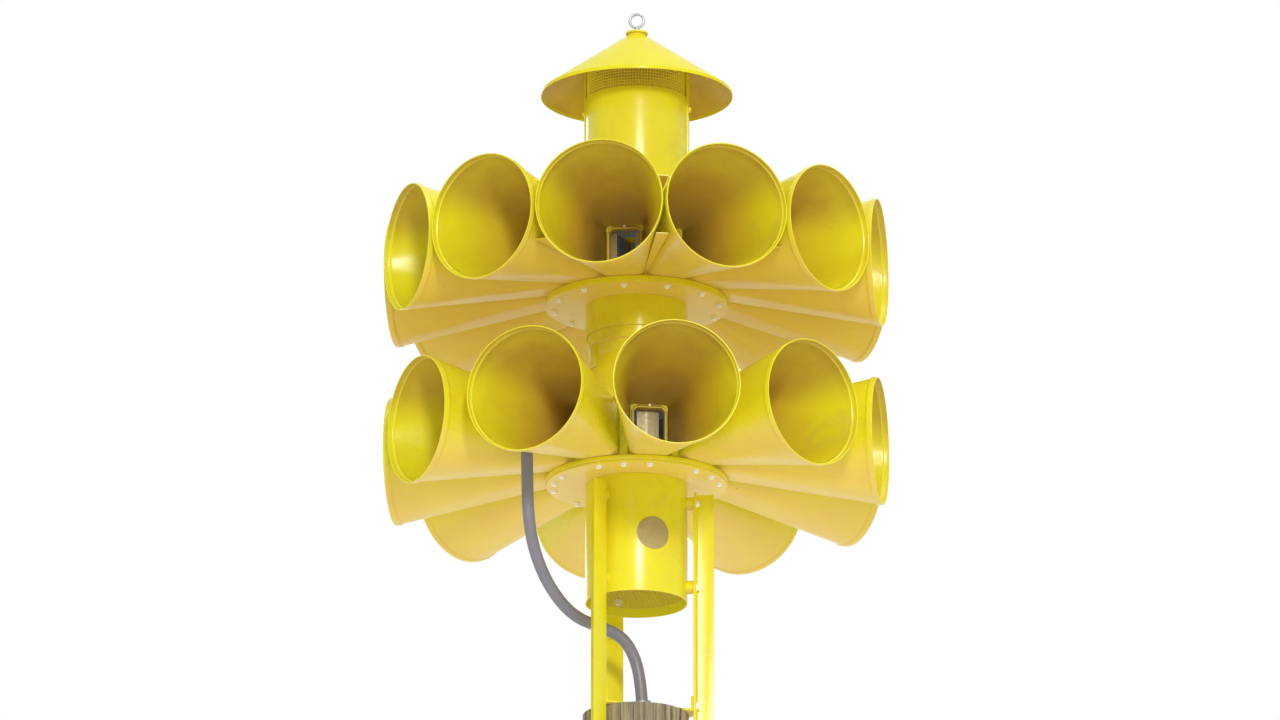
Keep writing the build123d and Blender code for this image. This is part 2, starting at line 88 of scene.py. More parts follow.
# %% Lay the conduit as one smooth curve
POLE_TOP = 13100.0
CONDUIT_RADIUS = 17.0
STEPS_ALONG_CURVE, STEPS_ROUND_BEVEL = 12, 10
CONDUIT_POINTS = [
    (-204, -21, 950),
    (-262, -52, 955),
    (-312, -100, 965),
    (-336, -168, 967),
    (-328, -240, 955),
    (-295, -310, 925),
    (-262, -358, 850),
    (-258, -363, 740),
    (-257, -355, 625),
    (-258, -336, 512),
    (-247, -300, 412),
    (-212, -240, 318),
    (-157, -146, 256),
    (-84, -78, 241),
    (-34, -40, 222),
    (-4, -13, 175),
    (12, -1, 105),
    (16, 2, 40),
]


def conduit_curve():
    """The conduit's centre line and its round section, as one curve."""
    curve = bpy.data.curves.new("power_conduit_hose", "CURVE")
    curve.dimensions = "3D"
    curve.bevel_depth = 1.0
    curve.bevel_resolution = STEPS_ROUND_BEVEL
    curve.resolution_u = STEPS_ALONG_CURVE
    curve.use_fill_caps = True
    spline = curve.splines.new("NURBS")
    spline.points.add(len(CONDUIT_POINTS) - 1)
    for point, (x, y, above) in zip(spline.points, CONDUIT_POINTS):
        point.co = (x * MM, y * MM, (POLE_TOP + above) * MM, 1.0)
        point.radius = CONDUIT_RADIUS * MM
    spline.order_u = 3
    spline.use_endpoint_u = True
    return curve


hose = bpy.data.objects.new("power_conduit_hose", conduit_curve())
bpy.context.scene.collection.objects.link(hose)
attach(hose, "tower")
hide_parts("power_conduit")
print("conduit points", len(CONDUIT_POINTS))

# %% [markdown]
# ## Lamps
#
# Area lamps would have to be huge for a thing 15 metres tall, so each lamp is a
# sun lamp, and the angle it fills does the work of a softbox: the wider the
# angle, the softer the edge of a shadow. Five of them share the work.
#
# - The key light stands low, in front and a little to the right, and gives the
#   form of the horns.
# - The gloss light, a little higher, only draws the bright line down the ducts,
#   because matt surfaces don't see it.
# - The top light is wide and soft, as the sky is.
# - The back light keeps the rear of the horns readable.
# - The bounce light comes from below and casts no shadow, like light that comes
#   back from pale ground. It is what lights the undersides.
#
# Azimuths are in degrees, with 0 at the front and 90 to the right. Strengths
# stay plain, so that a colour comes out about as it is written.

# %% Hang the lamps
# azimuth, height, strength and softness of each lamp
LAMPS = {
    "key_light": (15.5, 11.0, 1.20, 8.0),
    "gloss_light": (15.7, 16.0, 1.3, 11.0),
    "bounce_light": (12.0, -50.0, 0.75, 60.0),
    "top_light": (70.0, 76.0, 1.15, 40.0),
    "back_light": (205.0, 14.0, 0.5, 30.0),
}
LAMP_METRES = 30.0


def sun_lamp(name, azimuth, height, strength, softness):
    """A sun lamp that shines from an azimuth and a height, both in degrees."""
    data = bpy.data.lights.new(name, "SUN")
    data.energy = strength
    data.angle = math.radians(softness)
    lamp = bpy.data.objects.new(name, data)
    turn, tilt = math.radians(azimuth), math.radians(height)
    source = Vector((math.sin(turn) * math.cos(tilt), -math.cos(turn) * math.cos(tilt), math.sin(tilt)))
    lamp.rotation_mode = "QUATERNION"
    lamp.rotation_quaternion = source.to_track_quat("Z", "Y")
    lamp.location = source * LAMP_METRES
    bpy.context.scene.collection.objects.link(lamp)
    return lamp


lamps = {name: sun_lamp(name, *sizes) for name, sizes in LAMPS.items()}
lamps["gloss_light"].visible_diffuse = False
lamps["bounce_light"].visible_glossy = False
lamps["bounce_light"].data.use_shadow = False
print("lamps", sorted(lamps))

# %% [markdown]
# ## A small kit for shader nodes
#
# Every finish below is a handful of noise textures mixed over one another. To
# keep those recipes readable, one helper adds a node and fills its inputs, and
# the others name the steps that come back again and again: where on the object
# we are, how noise falls there, how a value turns into a mask, and how two
# values or two colours are joined.

# %% Helpers for shader nodes
def add_node(tree, kind, inputs=None, **settings):
    """Adds one shader node, sets its fields and fills its inputs."""
    made = tree.nodes.new("ShaderNode" + kind)
    for field, value in settings.items():
        setattr(made, field, value)
    for key, value in (inputs or {}).items():
        if isinstance(value, bpy.types.NodeSocket):
            tree.links.new(value, made.inputs[key])
        else:
            made.inputs[key].default_value = value
    return made


def stretched(tree, across=1.0, along=1.0):
    """The place on the object, scaled across and along the pole's direction."""
    place = add_node(tree, "TexCoord").outputs["Object"]
    return add_node(tree, "Mapping", {"Vector": place, "Scale": (across, across, along)}).outputs[0]


def cloud(tree, place, scale, detail=4.0, roughness=0.55, twist=0.0):
    """Soft random values from 0 to 1 at a scale."""
    inputs = {"Vector": place, "Scale": scale, "Detail": detail, "Roughness": roughness, "Distortion": twist}
    return add_node(tree, "TexNoise", inputs).outputs["Fac"]


def mask(tree, value, low, high, top=1.0, bottom=0.0):
    """Turns a value into a mask that rises from bottom at low to top at high."""
    inputs = {"Value": value, "From Min": low, "From Max": high, "To Min": bottom, "To Max": top}
    return add_node(tree, "MapRange", inputs, interpolation_type="SMOOTHSTEP").outputs[0]


def combined(tree, operation, one, other):
    """Two values joined by a sum, a product or another operation."""
    return add_node(tree, "Math", {0: one, 1: other}, operation=operation).outputs[0]


def blended(tree, amount, under, over):
    """A colour laid over another by an amount."""
    made = add_node(tree, "Mix", data_type="RGBA")
    for socket, value in ((made.inputs[0], amount), (made.inputs[6], under), (made.inputs[7], over)):
        if isinstance(value, bpy.types.NodeSocket):
            tree.links.new(value, socket)
        else:
            socket.default_value = value
    return made.outputs[2]


def new_finish(name):
    """An empty material with its shader, ready for a recipe."""
    material = bpy.data.materials.new(name)
    material.use_nodes = True
    return material, material.node_tree, material.node_tree.nodes["Principled BSDF"]


def relief(tree, shader, height, strength, depth):
    """Small raised and sunk places, given by a height from 0 to 1."""
    bump = add_node(tree, "Bump", {"Height": height, "Strength": strength, "Distance": depth * MM})
    tree.links.new(bump.outputs[0], shader.inputs["Normal"])


print("shader helpers ready")

# %% [markdown]
# ## Backdrop and floor
#
# The backdrop is the world itself. Only rays that go straight to the camera, or
# that gloss and glass send out, see it at full white. All other rays get half of
# that as an even fill, so the object isn't flooded with light. The floor is a
# wide plane in a pale paint with very faint clouds in it. A built backdrop with
# a curved corner would do as well, but it would show its edges from the sides.

# %% The white backdrop
FILL_STRENGTH = 0.50
WHITE = (1.0, 1.0, 1.0, 1.0)

scene = bpy.context.scene
world = bpy.data.worlds.new("studio_air")
scene.world = world
world.use_nodes = True
air = world.node_tree
background = air.nodes["Background"]
paths = add_node(air, "LightPath")
seen = combined(air, "MAXIMUM", paths.outputs["Is Camera Ray"], paths.outputs["Is Glossy Ray"])
seen = combined(air, "MAXIMUM", seen, paths.outputs["Is Transmission Ray"])
air.links.new(mask(air, seen, 0.0, 1.0, top=1.0, bottom=FILL_STRENGTH), background.inputs["Strength"])
background.inputs["Color"].default_value = WHITE
scene.view_settings.view_transform = "Standard"
print("fill", FILL_STRENGTH, "of the backdrop's white")

# %% The pale floor
FLOOR_HALF_METRES = 60.0
FLOOR_PALE, FLOOR_PALER = (0.92, 0.92, 0.90, 1.0), (0.95, 0.95, 0.93, 1.0)
FLOOR_CLOUDS, FLOOR_ROUGHNESS = 0.6, 0.9
FLOOR_CORNERS = ((-1, -1), (1, -1), (1, 1), (-1, 1))

floor_mesh = bpy.data.meshes.new("studio_floor")
floor_corners = [(x * FLOOR_HALF_METRES, y * FLOOR_HALF_METRES, 0.0) for x, y in FLOOR_CORNERS]
floor_mesh.from_pydata(floor_corners, [], [(0, 1, 2, 3)])
floor = bpy.data.objects.new("studio_floor", floor_mesh)
scene.collection.objects.link(floor)
floor_finish, tree, shader = new_finish("pale_floor")
floor_tone = cloud(tree, stretched(tree), FLOOR_CLOUDS)
tree.links.new(blended(tree, floor_tone, FLOOR_PALE, FLOOR_PALER), shader.inputs["Base Color"])
shader.inputs["Roughness"].default_value = FLOOR_ROUGHNESS
floor_mesh.materials.append(floor_finish)
print("floor", 2 * FLOOR_HALF_METRES, "metres wide")

# %% [markdown]
# ## Yellow enamel
#
# All sheet metal on the siren wears the same bright yellow enamel. Years
# outdoors have left broad patches where it faded, thin rain streaks of ochre
# dust and a few dark chips. Every face that looks down gets a dull tan film,
# which is also painted shade. Inside the horns the yellow is painted darker as
# shade: amber, and deep brown near the drum. A flat colour would read as
# plastic, so each of those is its own noise at its own size, laid over the
# yellow in turn. The film follows the face's direction, and the painted shade
# in the horns the distance from the pole's axis; neither depends on the camera.

# %% Recipe for the enamel
ENAMEL_BRIGHT = (0.85, 0.77, 0.020, 1.0)
ENAMEL_DEEP = (0.80, 0.66, 0.018, 1.0)
RAIN_DUST = (0.60, 0.42, 0.10, 1.0)
# a dull tan film on faces that look down, which is also painted shade
DOWN_FILM_AND_SHADE = (0.77, 0.53, 0.110, 1.0)
# a darker film for the cap's underside, also painted shade
CAP_FILM_AND_SHADE = (0.50, 0.31, 0.060, 1.0)
CHIP_BROWN = (0.16, 0.10, 0.03, 1.0)
# inside the horns: amber, deep brown and the roof's film are painted shade, darker towards the drum
THROAT_AMBER_SHADE = (0.64, 0.37, 0.050, 1.0)
THROAT_DEEP_SHADE = (0.115, 0.048, 0.012, 1.0)
THROAT_ROOF_FILM_AND_SHADE = (0.44, 0.27, 0.040, 1.0)

# where the amber and the deep brown painted shade are full, and where they end, in metres from the axis
AMBER_SHADE_FROM, AMBER_SHADE_TO, AMBER_SHADE_MOST = 0.34, 0.66, 0.85
DEEP_SHADE_FROM, DEEP_SHADE_TO = 0.22, 0.46

# how many cells of noise fit in a metre
FADING, PATCHES, UNEVENNESS, CHIP_ZONES = 3.1, 5.5, 8.0, 7.0
CHIPS, ORANGE_PEEL, DENTS = 150.0, 210.0, 9.0
STREAKS_ACROSS, STREAKS_ALONG = 26.0, 2.2

GRIME_MOST, CHIPS_MOST = 0.30, 0.75
# heights of the face's normal where the underside film and its painted shade begin and are full
FILM_AND_SHADE_STARTS, FILM_AND_SHADE_FULL = -0.10, -0.80
DUSTY_ROUGHNESS, FILM_ROUGHENS = 0.60, 0.25
SPECULAR, COAT, COAT_ROUGHNESS = 0.24, 0.12, 0.18
PEEL_SHARE, CHIP_SINKS = 0.12, 0.35
ENAMEL_BUMP, ENAMEL_RELIEF = 0.30, 1.2


def distance_out(tree):
    """How far a place is from the pole's axis, in metres."""
    place = add_node(tree, "TexCoord").outputs["Object"]
    flat = add_node(tree, "Mapping", {"Vector": place, "Scale": (1.0, 1.0, 0.0)}).outputs[0]
    return add_node(tree, "VectorMath", {0: flat}, operation="LENGTH").outputs["Value"]


def throat_colour(tree, colour, uneven, most_deep_shade):
    """Lays amber painted shade, and deep brown painted shade further in, over the enamel inside a horn."""
    out = distance_out(tree)
    amber = combined(tree, "MULTIPLY", mask(tree, out, AMBER_SHADE_TO, AMBER_SHADE_FROM, top=AMBER_SHADE_MOST), uneven)
    throat_shade = combined(tree, "MULTIPLY", mask(tree, out, DEEP_SHADE_TO, DEEP_SHADE_FROM, top=most_deep_shade), uneven)
    return blended(tree, throat_shade, blended(tree, amber, colour, THROAT_AMBER_SHADE), THROAT_DEEP_SHADE)


def enamel(name, film_and_shade=0.9, film_and_shade_tone=DOWN_FILM_AND_SHADE, throat=False, throat_shade=0.85, gloss=0.26, dust=1.0, shine=1.0):
    """Yellow enamel with fading, rain streaks, chips and a dull tan underside that is also painted shade.

    The two arguments after the name set how strong that underside layer and its painted shade are,
    and their colour. throat adds amber and deep brown painted shade inside a horn, the brown up to its
    own share. gloss is the roughness of clean paint, dust scales the streaks and patches, and shine
    scales the specular and the clear top coat.
    """
    material, tree, shader = new_finish(name)
    even = stretched(tree)
    fading = mask(tree, cloud(tree, even, FADING, 5.0, 0.6, 0.4), 0.40, 0.72)
    colour = blended(tree, fading, ENAMEL_BRIGHT, ENAMEL_DEEP)
    rain = stretched(tree, STREAKS_ACROSS, STREAKS_ALONG)
    streaks = mask(tree, cloud(tree, rain, 1.0, 6.0, 0.62, 0.3), 0.58, 0.82)
    patches = mask(tree, cloud(tree, even, PATCHES, 6.0, 0.65, 0.8), 0.52, 0.76)
    grime = combined(tree, "MULTIPLY", combined(tree, "MAXIMUM", streaks, patches), GRIME_MOST * dust)
    colour = blended(tree, grime, colour, RAIN_DUST)
    uneven = mask(tree, cloud(tree, even, UNEVENNESS, 5.0), 0.25, 0.75, top=1.08, bottom=0.82)
    if throat:
        colour = throat_colour(tree, colour, uneven, throat_shade)
    # faces that look down get a dull tan film, which is also painted shade
    facing = add_node(tree, "SeparateXYZ", {0: add_node(tree, "NewGeometry").outputs["Normal"]})
    down = mask(tree, facing.outputs["Z"], FILM_AND_SHADE_STARTS, FILM_AND_SHADE_FULL, top=film_and_shade)
    under = combined(tree, "MULTIPLY", down, uneven)
    colour = blended(tree, under, colour, film_and_shade_tone)
    chips = mask(tree, cloud(tree, even, CHIPS, 3.0, 0.6), 0.70, 0.74)
    where = mask(tree, cloud(tree, even, CHIP_ZONES, 3.0), 0.52, 0.62)
    chipped = combined(tree, "MULTIPLY", combined(tree, "MULTIPLY", chips, where), CHIPS_MOST)
    colour = blended(tree, chipped, colour, CHIP_BROWN)
    tree.links.new(colour, shader.inputs["Base Color"])
    dull = combined(tree, "MAXIMUM", grime, combined(tree, "MULTIPLY", under, FILM_ROUGHENS))
    roughness = mask(tree, dull, 0.0, 0.6, top=DUSTY_ROUGHNESS, bottom=gloss)
    tree.links.new(roughness, shader.inputs["Roughness"])
    shader.inputs["Specular IOR Level"].default_value = SPECULAR * shine
    shader.inputs["Coat Weight"].default_value = COAT * shine
    shader.inputs["Coat Roughness"].default_value = COAT_ROUGHNESS
    peel = cloud(tree, even, ORANGE_PEEL, 2.0, 0.5)
    dents = cloud(tree, even, DENTS, 2.0, 0.5)
    height = combined(tree, "ADD", combined(tree, "MULTIPLY", peel, PEEL_SHARE), dents)
    height = combined(tree, "SUBTRACT", height, combined(tree, "MULTIPLY", chipped, CHIP_SINKS))
    relief(tree, shader, height, ENAMEL_BUMP, ENAMEL_RELIEF)
    return material


enamel_outside = enamel("yellow_enamel")
# the horns' inner faces get amber and deep brown painted shade towards the drum
enamel_throat = enamel("yellow_enamel_in_horns", film_and_shade=0.80, film_and_shade_tone=THROAT_ROOF_FILM_AND_SHADE, throat=True, gloss=0.30)
# heavier dust streaks and patches, which also paint shade on the drums behind the horns
enamel_with_painted_shade = enamel("yellow_enamel_in_shade", dust=1.5, gloss=0.34)
# the port frames get the same painted shade, with less of the deep brown
enamel_frames = enamel("yellow_enamel_on_frames", film_and_shade_tone=THROAT_ROOF_FILM_AND_SHADE, throat=True, throat_shade=0.38, gloss=0.34)
for finish in (enamel_outside, enamel_throat, enamel_with_painted_shade, enamel_frames):
    print("enamel finish", finish.name, len(finish.node_tree.nodes), "nodes")

# %% [markdown]
# ## Zinc, alloy and hose
#
# Bolt heads and the lifting eye are zinc plated: pale, a little mottled, with
# the faint crystal pattern that hot zinc leaves. On the bolt heads the zinc is
# near white and warm, which is partly a painted glint. A Voronoi texture draws
# such crystals better than soft noise does. The spinning rotors are bare cast
# alloy, coloured blue-grey as a painted reflection of the sky, with upright
# bands of ochre dust and bright scratches. The conduit has a grey plastic
# jacket, slightly mauve, with pale scuffs and a low satin gloss.

# %% Recipe for zinc
CRYSTALS, ZINC_WEAR = 260.0, 60.0
WEAR_SHARE, CRYSTAL_SHARE = 0.6, 0.25


def zinc(name, pale, dark, metallic, gloss):
    """Zinc plating with crystal patches and light grime."""
    material, tree, shader = new_finish(name)
    even = stretched(tree)
    crystals = add_node(tree, "TexVoronoi", {"Vector": even, "Scale": CRYSTALS}).outputs["Color"]
    crystal_tone = add_node(tree, "SeparateColor", {0: crystals}).outputs[0]
    worn = cloud(tree, even, ZINC_WEAR, 4.0)
    tone = combined(tree, "MULTIPLY", mask(tree, worn, 0.35, 0.8), WEAR_SHARE)
    tone = combined(tree, "ADD", tone, combined(tree, "MULTIPLY", crystal_tone, CRYSTAL_SHARE))
    tree.links.new(blended(tree, tone, pale, dark), shader.inputs["Base Color"])
    shader.inputs["Metallic"].default_value = metallic
    tree.links.new(mask(tree, tone, 0.0, 0.8, top=gloss + 0.25, bottom=gloss), shader.inputs["Roughness"])
    relief(tree, shader, worn, 0.25, 0.4)
    return material


# the bolts' zinc is near white and warm, partly a painted glint
zinc_with_painted_glint = zinc("zinc_on_bolts", (0.95, 0.91, 0.85, 1.0), (0.84, 0.79, 0.72, 1.0), 0.10, 0.34)
zinc_plate = zinc("zinc_on_eye", (0.50, 0.52, 0.53, 1.0), (0.26, 0.28, 0.29, 1.0), 0.55, 0.40)
zinc_dull = zinc("zinc_dull", (0.36, 0.35, 0.33, 1.0), (0.20, 0.20, 0.19, 1.0), 0.35, 0.50)
print("zinc finishes", zinc_with_painted_glint.name, zinc_plate.name, zinc_dull.name)

# %% Recipe for the rotors' alloy
DUST_OCHRE, DUST_OLIVE = (0.50, 0.36, 0.11, 1.0), (0.24, 0.20, 0.075, 1.0)
# the blue-grey is a painted reflection of the sky on the bare alloy
SKY_REFLECTION_DARK, SKY_REFLECTION_PALE = (0.14, 0.22, 0.38, 1.0), (0.26, 0.37, 0.56, 1.0)
SCRATCH_TONE = (0.62, 0.55, 0.34, 1.0)
ALLOY_METALLIC = 0.20
PITS, DUST_BANDS, DUST_GRAIN, SCRATCHES = 120.0, 26.0, 150.0, 210.0


def cast_alloy(name):
    """Bare cast alloy, its blue-grey a painted reflection of the sky, with ochre dust on it."""
    material, tree, shader = new_finish(name)
    even = stretched(tree)
    pits = cloud(tree, even, PITS, 4.0, 0.6)
    bands = cloud(tree, stretched(tree, DUST_BANDS, 0.4), 1.0, 1.0, 0.4)
    dust = blended(tree, cloud(tree, stretched(tree, DUST_GRAIN, 1.0), 1.0, 2.0), DUST_OLIVE, DUST_OCHRE)
    # the blue-grey, mottled by the pits, is a painted reflection of the sky
    painted_sky_reflection = blended(tree, pits, SKY_REFLECTION_DARK, SKY_REFLECTION_PALE)
    colour = blended(tree, mask(tree, bands, 0.47, 0.53, top=0.92), painted_sky_reflection, dust)
    scratches = cloud(tree, stretched(tree, SCRATCHES, 0.6), 1.0, 2.0)
    colour = blended(tree, mask(tree, scratches, 0.60, 0.66, top=0.8), colour, SCRATCH_TONE)
    tree.links.new(colour, shader.inputs["Base Color"])
    shader.inputs["Metallic"].default_value = ALLOY_METALLIC
    tree.links.new(mask(tree, pits, 0.2, 0.8, top=0.6, bottom=0.38), shader.inputs["Roughness"])
    relief(tree, shader, pits, 0.4, 0.5)
    return material


rotor_alloy = cast_alloy("rotor_alloy")
print("rotor finish", rotor_alloy.name)

# %% Recipe for the hose's jacket
JACKET_DARK, JACKET_PALE = (0.175, 0.166, 0.195, 1.0), (0.235, 0.222, 0.252, 1.0)
SCUFF_TONE = (0.36, 0.35, 0.35, 1.0)
JACKET_CLOUDS, JACKET_GRAIN, SCUFFS_ACROSS, SCUFFS_ALONG = 14.0, 180.0, 90.0, 12.0


def hose_jacket(name):
    """Grey plastic jacket, slightly mauve, with pale scuffs."""
    material, tree, shader = new_finish(name)
    even = stretched(tree)
    tone = cloud(tree, even, JACKET_CLOUDS, 5.0, 0.6)
    rubbed = cloud(tree, stretched(tree, SCUFFS_ACROSS, SCUFFS_ALONG), 1.0, 4.0, 0.7)
    scuffs = mask(tree, rubbed, 0.58, 0.72, top=0.35)
    jacket = blended(tree, tone, JACKET_DARK, JACKET_PALE)
    tree.links.new(blended(tree, scuffs, jacket, SCUFF_TONE), shader.inputs["Base Color"])
    tree.links.new(mask(tree, tone, 0.3, 0.7, top=0.52, bottom=0.40), shader.inputs["Roughness"])
    relief(tree, shader, cloud(tree, even, JACKET_GRAIN, 2.0), 0.15, 0.5)
    return material


hose.data.materials.append(hose_jacket("conduit_jacket"))
print("hose finish", hose.data.materials[0].name)

# %% [markdown]
# ## A small kit for shapes
#
# Nearly everything here is spun, pressed or cut from sheet. So one helper skins
# a row of rings, which makes a turned part, a horn or a port frame alike, and
# another rounds an outline's corners, because real edges are never sharp and
# a rounded edge is what catches the light. A third keeps what a modifier makes
# as plain mesh. Each finished mesh then goes through the same door: it gets its
# finish, rides on its body, and hides the CAD nodes it stands in for.

# %% Helpers for meshes
WELD_DISTANCE, CREASE_DEGREES = 0.01, 32.0


def skin(form, rings, tones=None, looped=False):
    """Faces between one ring of points and the next; looped joins the last ring to the first."""
    loops = [[form.verts.new(point) for point in ring] for ring in rings]
    pairs = list(zip(loops, loops[1:]))
    if looped:
        pairs.append((loops[-1], loops[0]))
    for band, (one, other) in enumerate(pairs):
        for i in range(len(one)):
            j = (i + 1) % len(one)
            face = form.faces.new((one[i], one[j], other[j], other[i]))
            face.material_index = tones[band] if tones else 0


def modified(form, kind, **settings):
    """What a modifier makes of a form, as plain mesh again."""
    mesh = bpy.data.meshes.new("before_" + kind.lower())
    form.to_mesh(mesh)
    form.free()
    carrier = bpy.data.objects.new(mesh.name, mesh)
    scene.collection.objects.link(carrier)
    modifier = carrier.modifiers.new(kind.lower(), kind)
    for field, value in settings.items():
        setattr(modifier, field, value)
    made = bmesh.new()
    made.from_object(carrier, bpy.context.evaluated_depsgraph_get())
    bpy.data.objects.remove(carrier)
    return made


def add_piece(name, form, finishes, replaced=(), crease=CREASE_DEGREES, capped=False):
    """Turns a form into a piece of the tower that shades smooth up to a crease; capped closes its ends."""
    if capped:
        bmesh.ops.holes_fill(form, edges=form.edges)
    bmesh.ops.remove_doubles(form, verts=form.verts, dist=WELD_DISTANCE * MM)
    bmesh.ops.recalc_face_normals(form, faces=form.faces)
    mesh = bpy.data.meshes.new(name)
    form.to_mesh(mesh)
    form.free()
    mesh.shade_smooth()
    mesh.set_sharp_from_angle(angle=math.radians(crease))
    for finish in finishes:
        mesh.materials.append(finish)
    piece = bpy.data.objects.new(name, mesh)
    scene.collection.objects.link(piece)
    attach(piece, "tower")
    if replaced:
        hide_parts(*replaced)
    print(name, len(mesh.polygons), "faces")
    return piece


print("mesh helpers ready")

# %% Helpers for turned parts
EDGE_RADIUS, CORNER_POINTS, LATHE_STEPS = 1.2, 3, 160
MOST_OF_AN_EDGE = 0.45


def softened(outline, radius):
    """A closed outline of (out, up) points with each corner rounded."""
    rounded = []
    for i, corner in enumerate(outline):
        here = Vector(corner)
        before = Vector(outline[i - 1]) - here
        after = Vector(outline[(i + 1) % len(outline)]) - here
        reach = min(radius, MOST_OF_AN_EDGE * before.length, MOST_OF_AN_EDGE * after.length)
        start = here + before.normalized() * reach
        end = here + after.normalized() * reach
        for k in range(CORNER_POINTS + 1):
            t = k / CORNER_POINTS
            rounded.append(start * (1 - t) ** 2 + here * 2 * t * (1 - t) + end * t**2)
    return rounded


def round_ring(radius, level, count):
    """Points on a level circle about the pole's axis, in metres."""
    angles = [2 * math.pi * i / count for i in range(count)]
    return [(radius * math.cos(a) * MM, radius * math.sin(a) * MM, level * MM) for a in angles]


def flat_ring(inner, low, high, outer):
    """The outline of a flat ring or a straight tube."""
    return [(inner, low), (outer, low), (outer, high), (inner, high)]


def turned_piece(name, outline, replaced, finish=enamel_outside, radius=EDGE_RADIUS, count=LATHE_STEPS):
    """A painted piece spun about the pole's axis from one closed outline."""
    form = bmesh.new()
    rings = [round_ring(out, up, count) for out, up in softened(outline, radius)]
    skin(form, rings, looped=True)
    return add_piece(name, form, [finish], [replaced])


def polar(azimuth, radius, level):
    """A point at an azimuth, with 0 at the front and 90 to the right, in millimetres."""
    a = math.radians(azimuth)
    return Vector((radius * math.sin(a), -radius * math.cos(a), level))


def outward(azimuth):
    """The level direction away from the pole's axis at an azimuth."""
    return polar(azimuth, 1.0, 0.0)


print("lathe helpers ready, with", LATHE_STEPS, "steps a turn")

# %% [markdown]
# ## Bolts
#
# The heads are bolted together all round, and those small bright heads are the
# first thing the eye finds on the dull undersides. Each is a hexagon head with
# a chamfered top on a round washer. One shape is skinned from rings of 24
# points, where the hexagon's rings are pulled in to its flats, and many of them
# share one mesh because they ride together.

# %% Recipe for a bolt head
HEAD_POINTS = 24
SEAT_SINK, WASHER_EDGE, WASHER_TOP, WASHER_CHAMFER = -0.3, 1.2, 1.8, 0.6
SIDE_SHARE, CROWN_SHARE = 0.8, 0.46

# across the flats, height and washer radius of each fastener
PORT_SCREW = (7.0, 6.5, 4.0)
PLATE_BOLT = (14.0, 8.0, 9.0)
STAND_BOLT = (17.0, 8.0, 12.0)
STRAP_BOLT = (15.0, 7.0, 10.0)


def hexagon_reach(angle, across):
    """How far a hexagon's side is from its centre in a direction."""
    turn = (math.degrees(angle) + 30.0) % 60.0 - 30.0
    return across / 2 / math.cos(math.radians(turn))


def add_bolt(form, seat, axis, fastener, turn=0.0):
    """A hexagon head on a washer, seated at a point in millimetres and facing along an axis."""
    across, height, washer = fastener
    lift = Vector(axis).normalized()
    place = Matrix.Translation(Vector(seat) * MM) @ lift.to_track_quat("Z", "Y").to_matrix().to_4x4()
    angles = [2 * math.pi * i / HEAD_POINTS for i in range(HEAD_POINTS)]
    steps = [
        ("round", 0.0, SEAT_SINK),
        ("round", washer, SEAT_SINK),
        ("round", washer, WASHER_EDGE),
        ("round", washer - WASHER_CHAMFER, WASHER_TOP),
        ("hex", across, WASHER_TOP),
        ("hex", across, height * SIDE_SHARE),
        ("round", across * CROWN_SHARE, height),
        ("round", 0.0, height),
    ]
    rings = []
    for kind, size, up in steps:
        reach = [hexagon_reach(a + turn, size) if kind == "hex" else size for a in angles]
        ring = [Vector((r * math.cos(a), r * math.sin(a), up)) * MM for r, a in zip(reach, angles)]
        rings.append([place @ point for point in ring])
    skin(form, rings)


def bolts_piece(name, places, fastener, finish=zinc_with_painted_glint):
    """Many like heads as one piece, each place being a seat, an axis and a turn."""
    form = bmesh.new()
    for seat, axis, turn in places:
        add_bolt(form, seat, axis, fastener, turn)
    return add_piece(name, form, [finish])


print("bolt recipe ready, with", HEAD_POINTS, "points round a head")

# %% [markdown]
# ## Horns
#
# Each horn starts as a rounded rectangle at the drum and ends as a circle, with
# straight sides between. That is a ruled form: a straight line joins every
# point of the one outline to its partner on the other. A loft between two
# curves would do the same, but partner points keep full control of where the
# four flat sides turn into the round mouth. So the outlines come first: each is
# cut into four corners and four sides, with equal numbers of points.

# %% Outlines of the throat and the mouth
UPPER_AXIS, LOWER_AXIS = 14410.0, 13880.0
UPPER_HORNS, LOWER_HORNS = 12, 10
UPPER_START, LOWER_START = 0.0, 18.0
HEADS = {"upper": (UPPER_HORNS, UPPER_START, UPPER_AXIS), "lower": (LOWER_HORNS, LOWER_START, LOWER_AXIS)}
DRUM_FACE = 220.0
MOUTH_DISTANCE, MOUTH_RADIUS = 700.0, 182.0
THROAT_WIDTH, THROAT_HEIGHT, THROAT_CORNER = 112.0, 152.8, 12.0
MOUTH_FLAT_ARC = 12.0
HORN_WALL = 3.0
FLAT_STEPS, CORNER_STEPS = 8, 18


def rectangle_corners(half_width, half_height, corner):
    """Each corner of a rounded rectangle: the direction of its middle in degrees and its centre."""
    signs = {45: (1, 1), 135: (-1, 1), 225: (-1, -1), 315: (1, -1)}
    return [
        (middle, Vector((side * (half_width - corner), rise * (half_height - corner))))
        for middle, (side, rise) in signs.items()
    ]


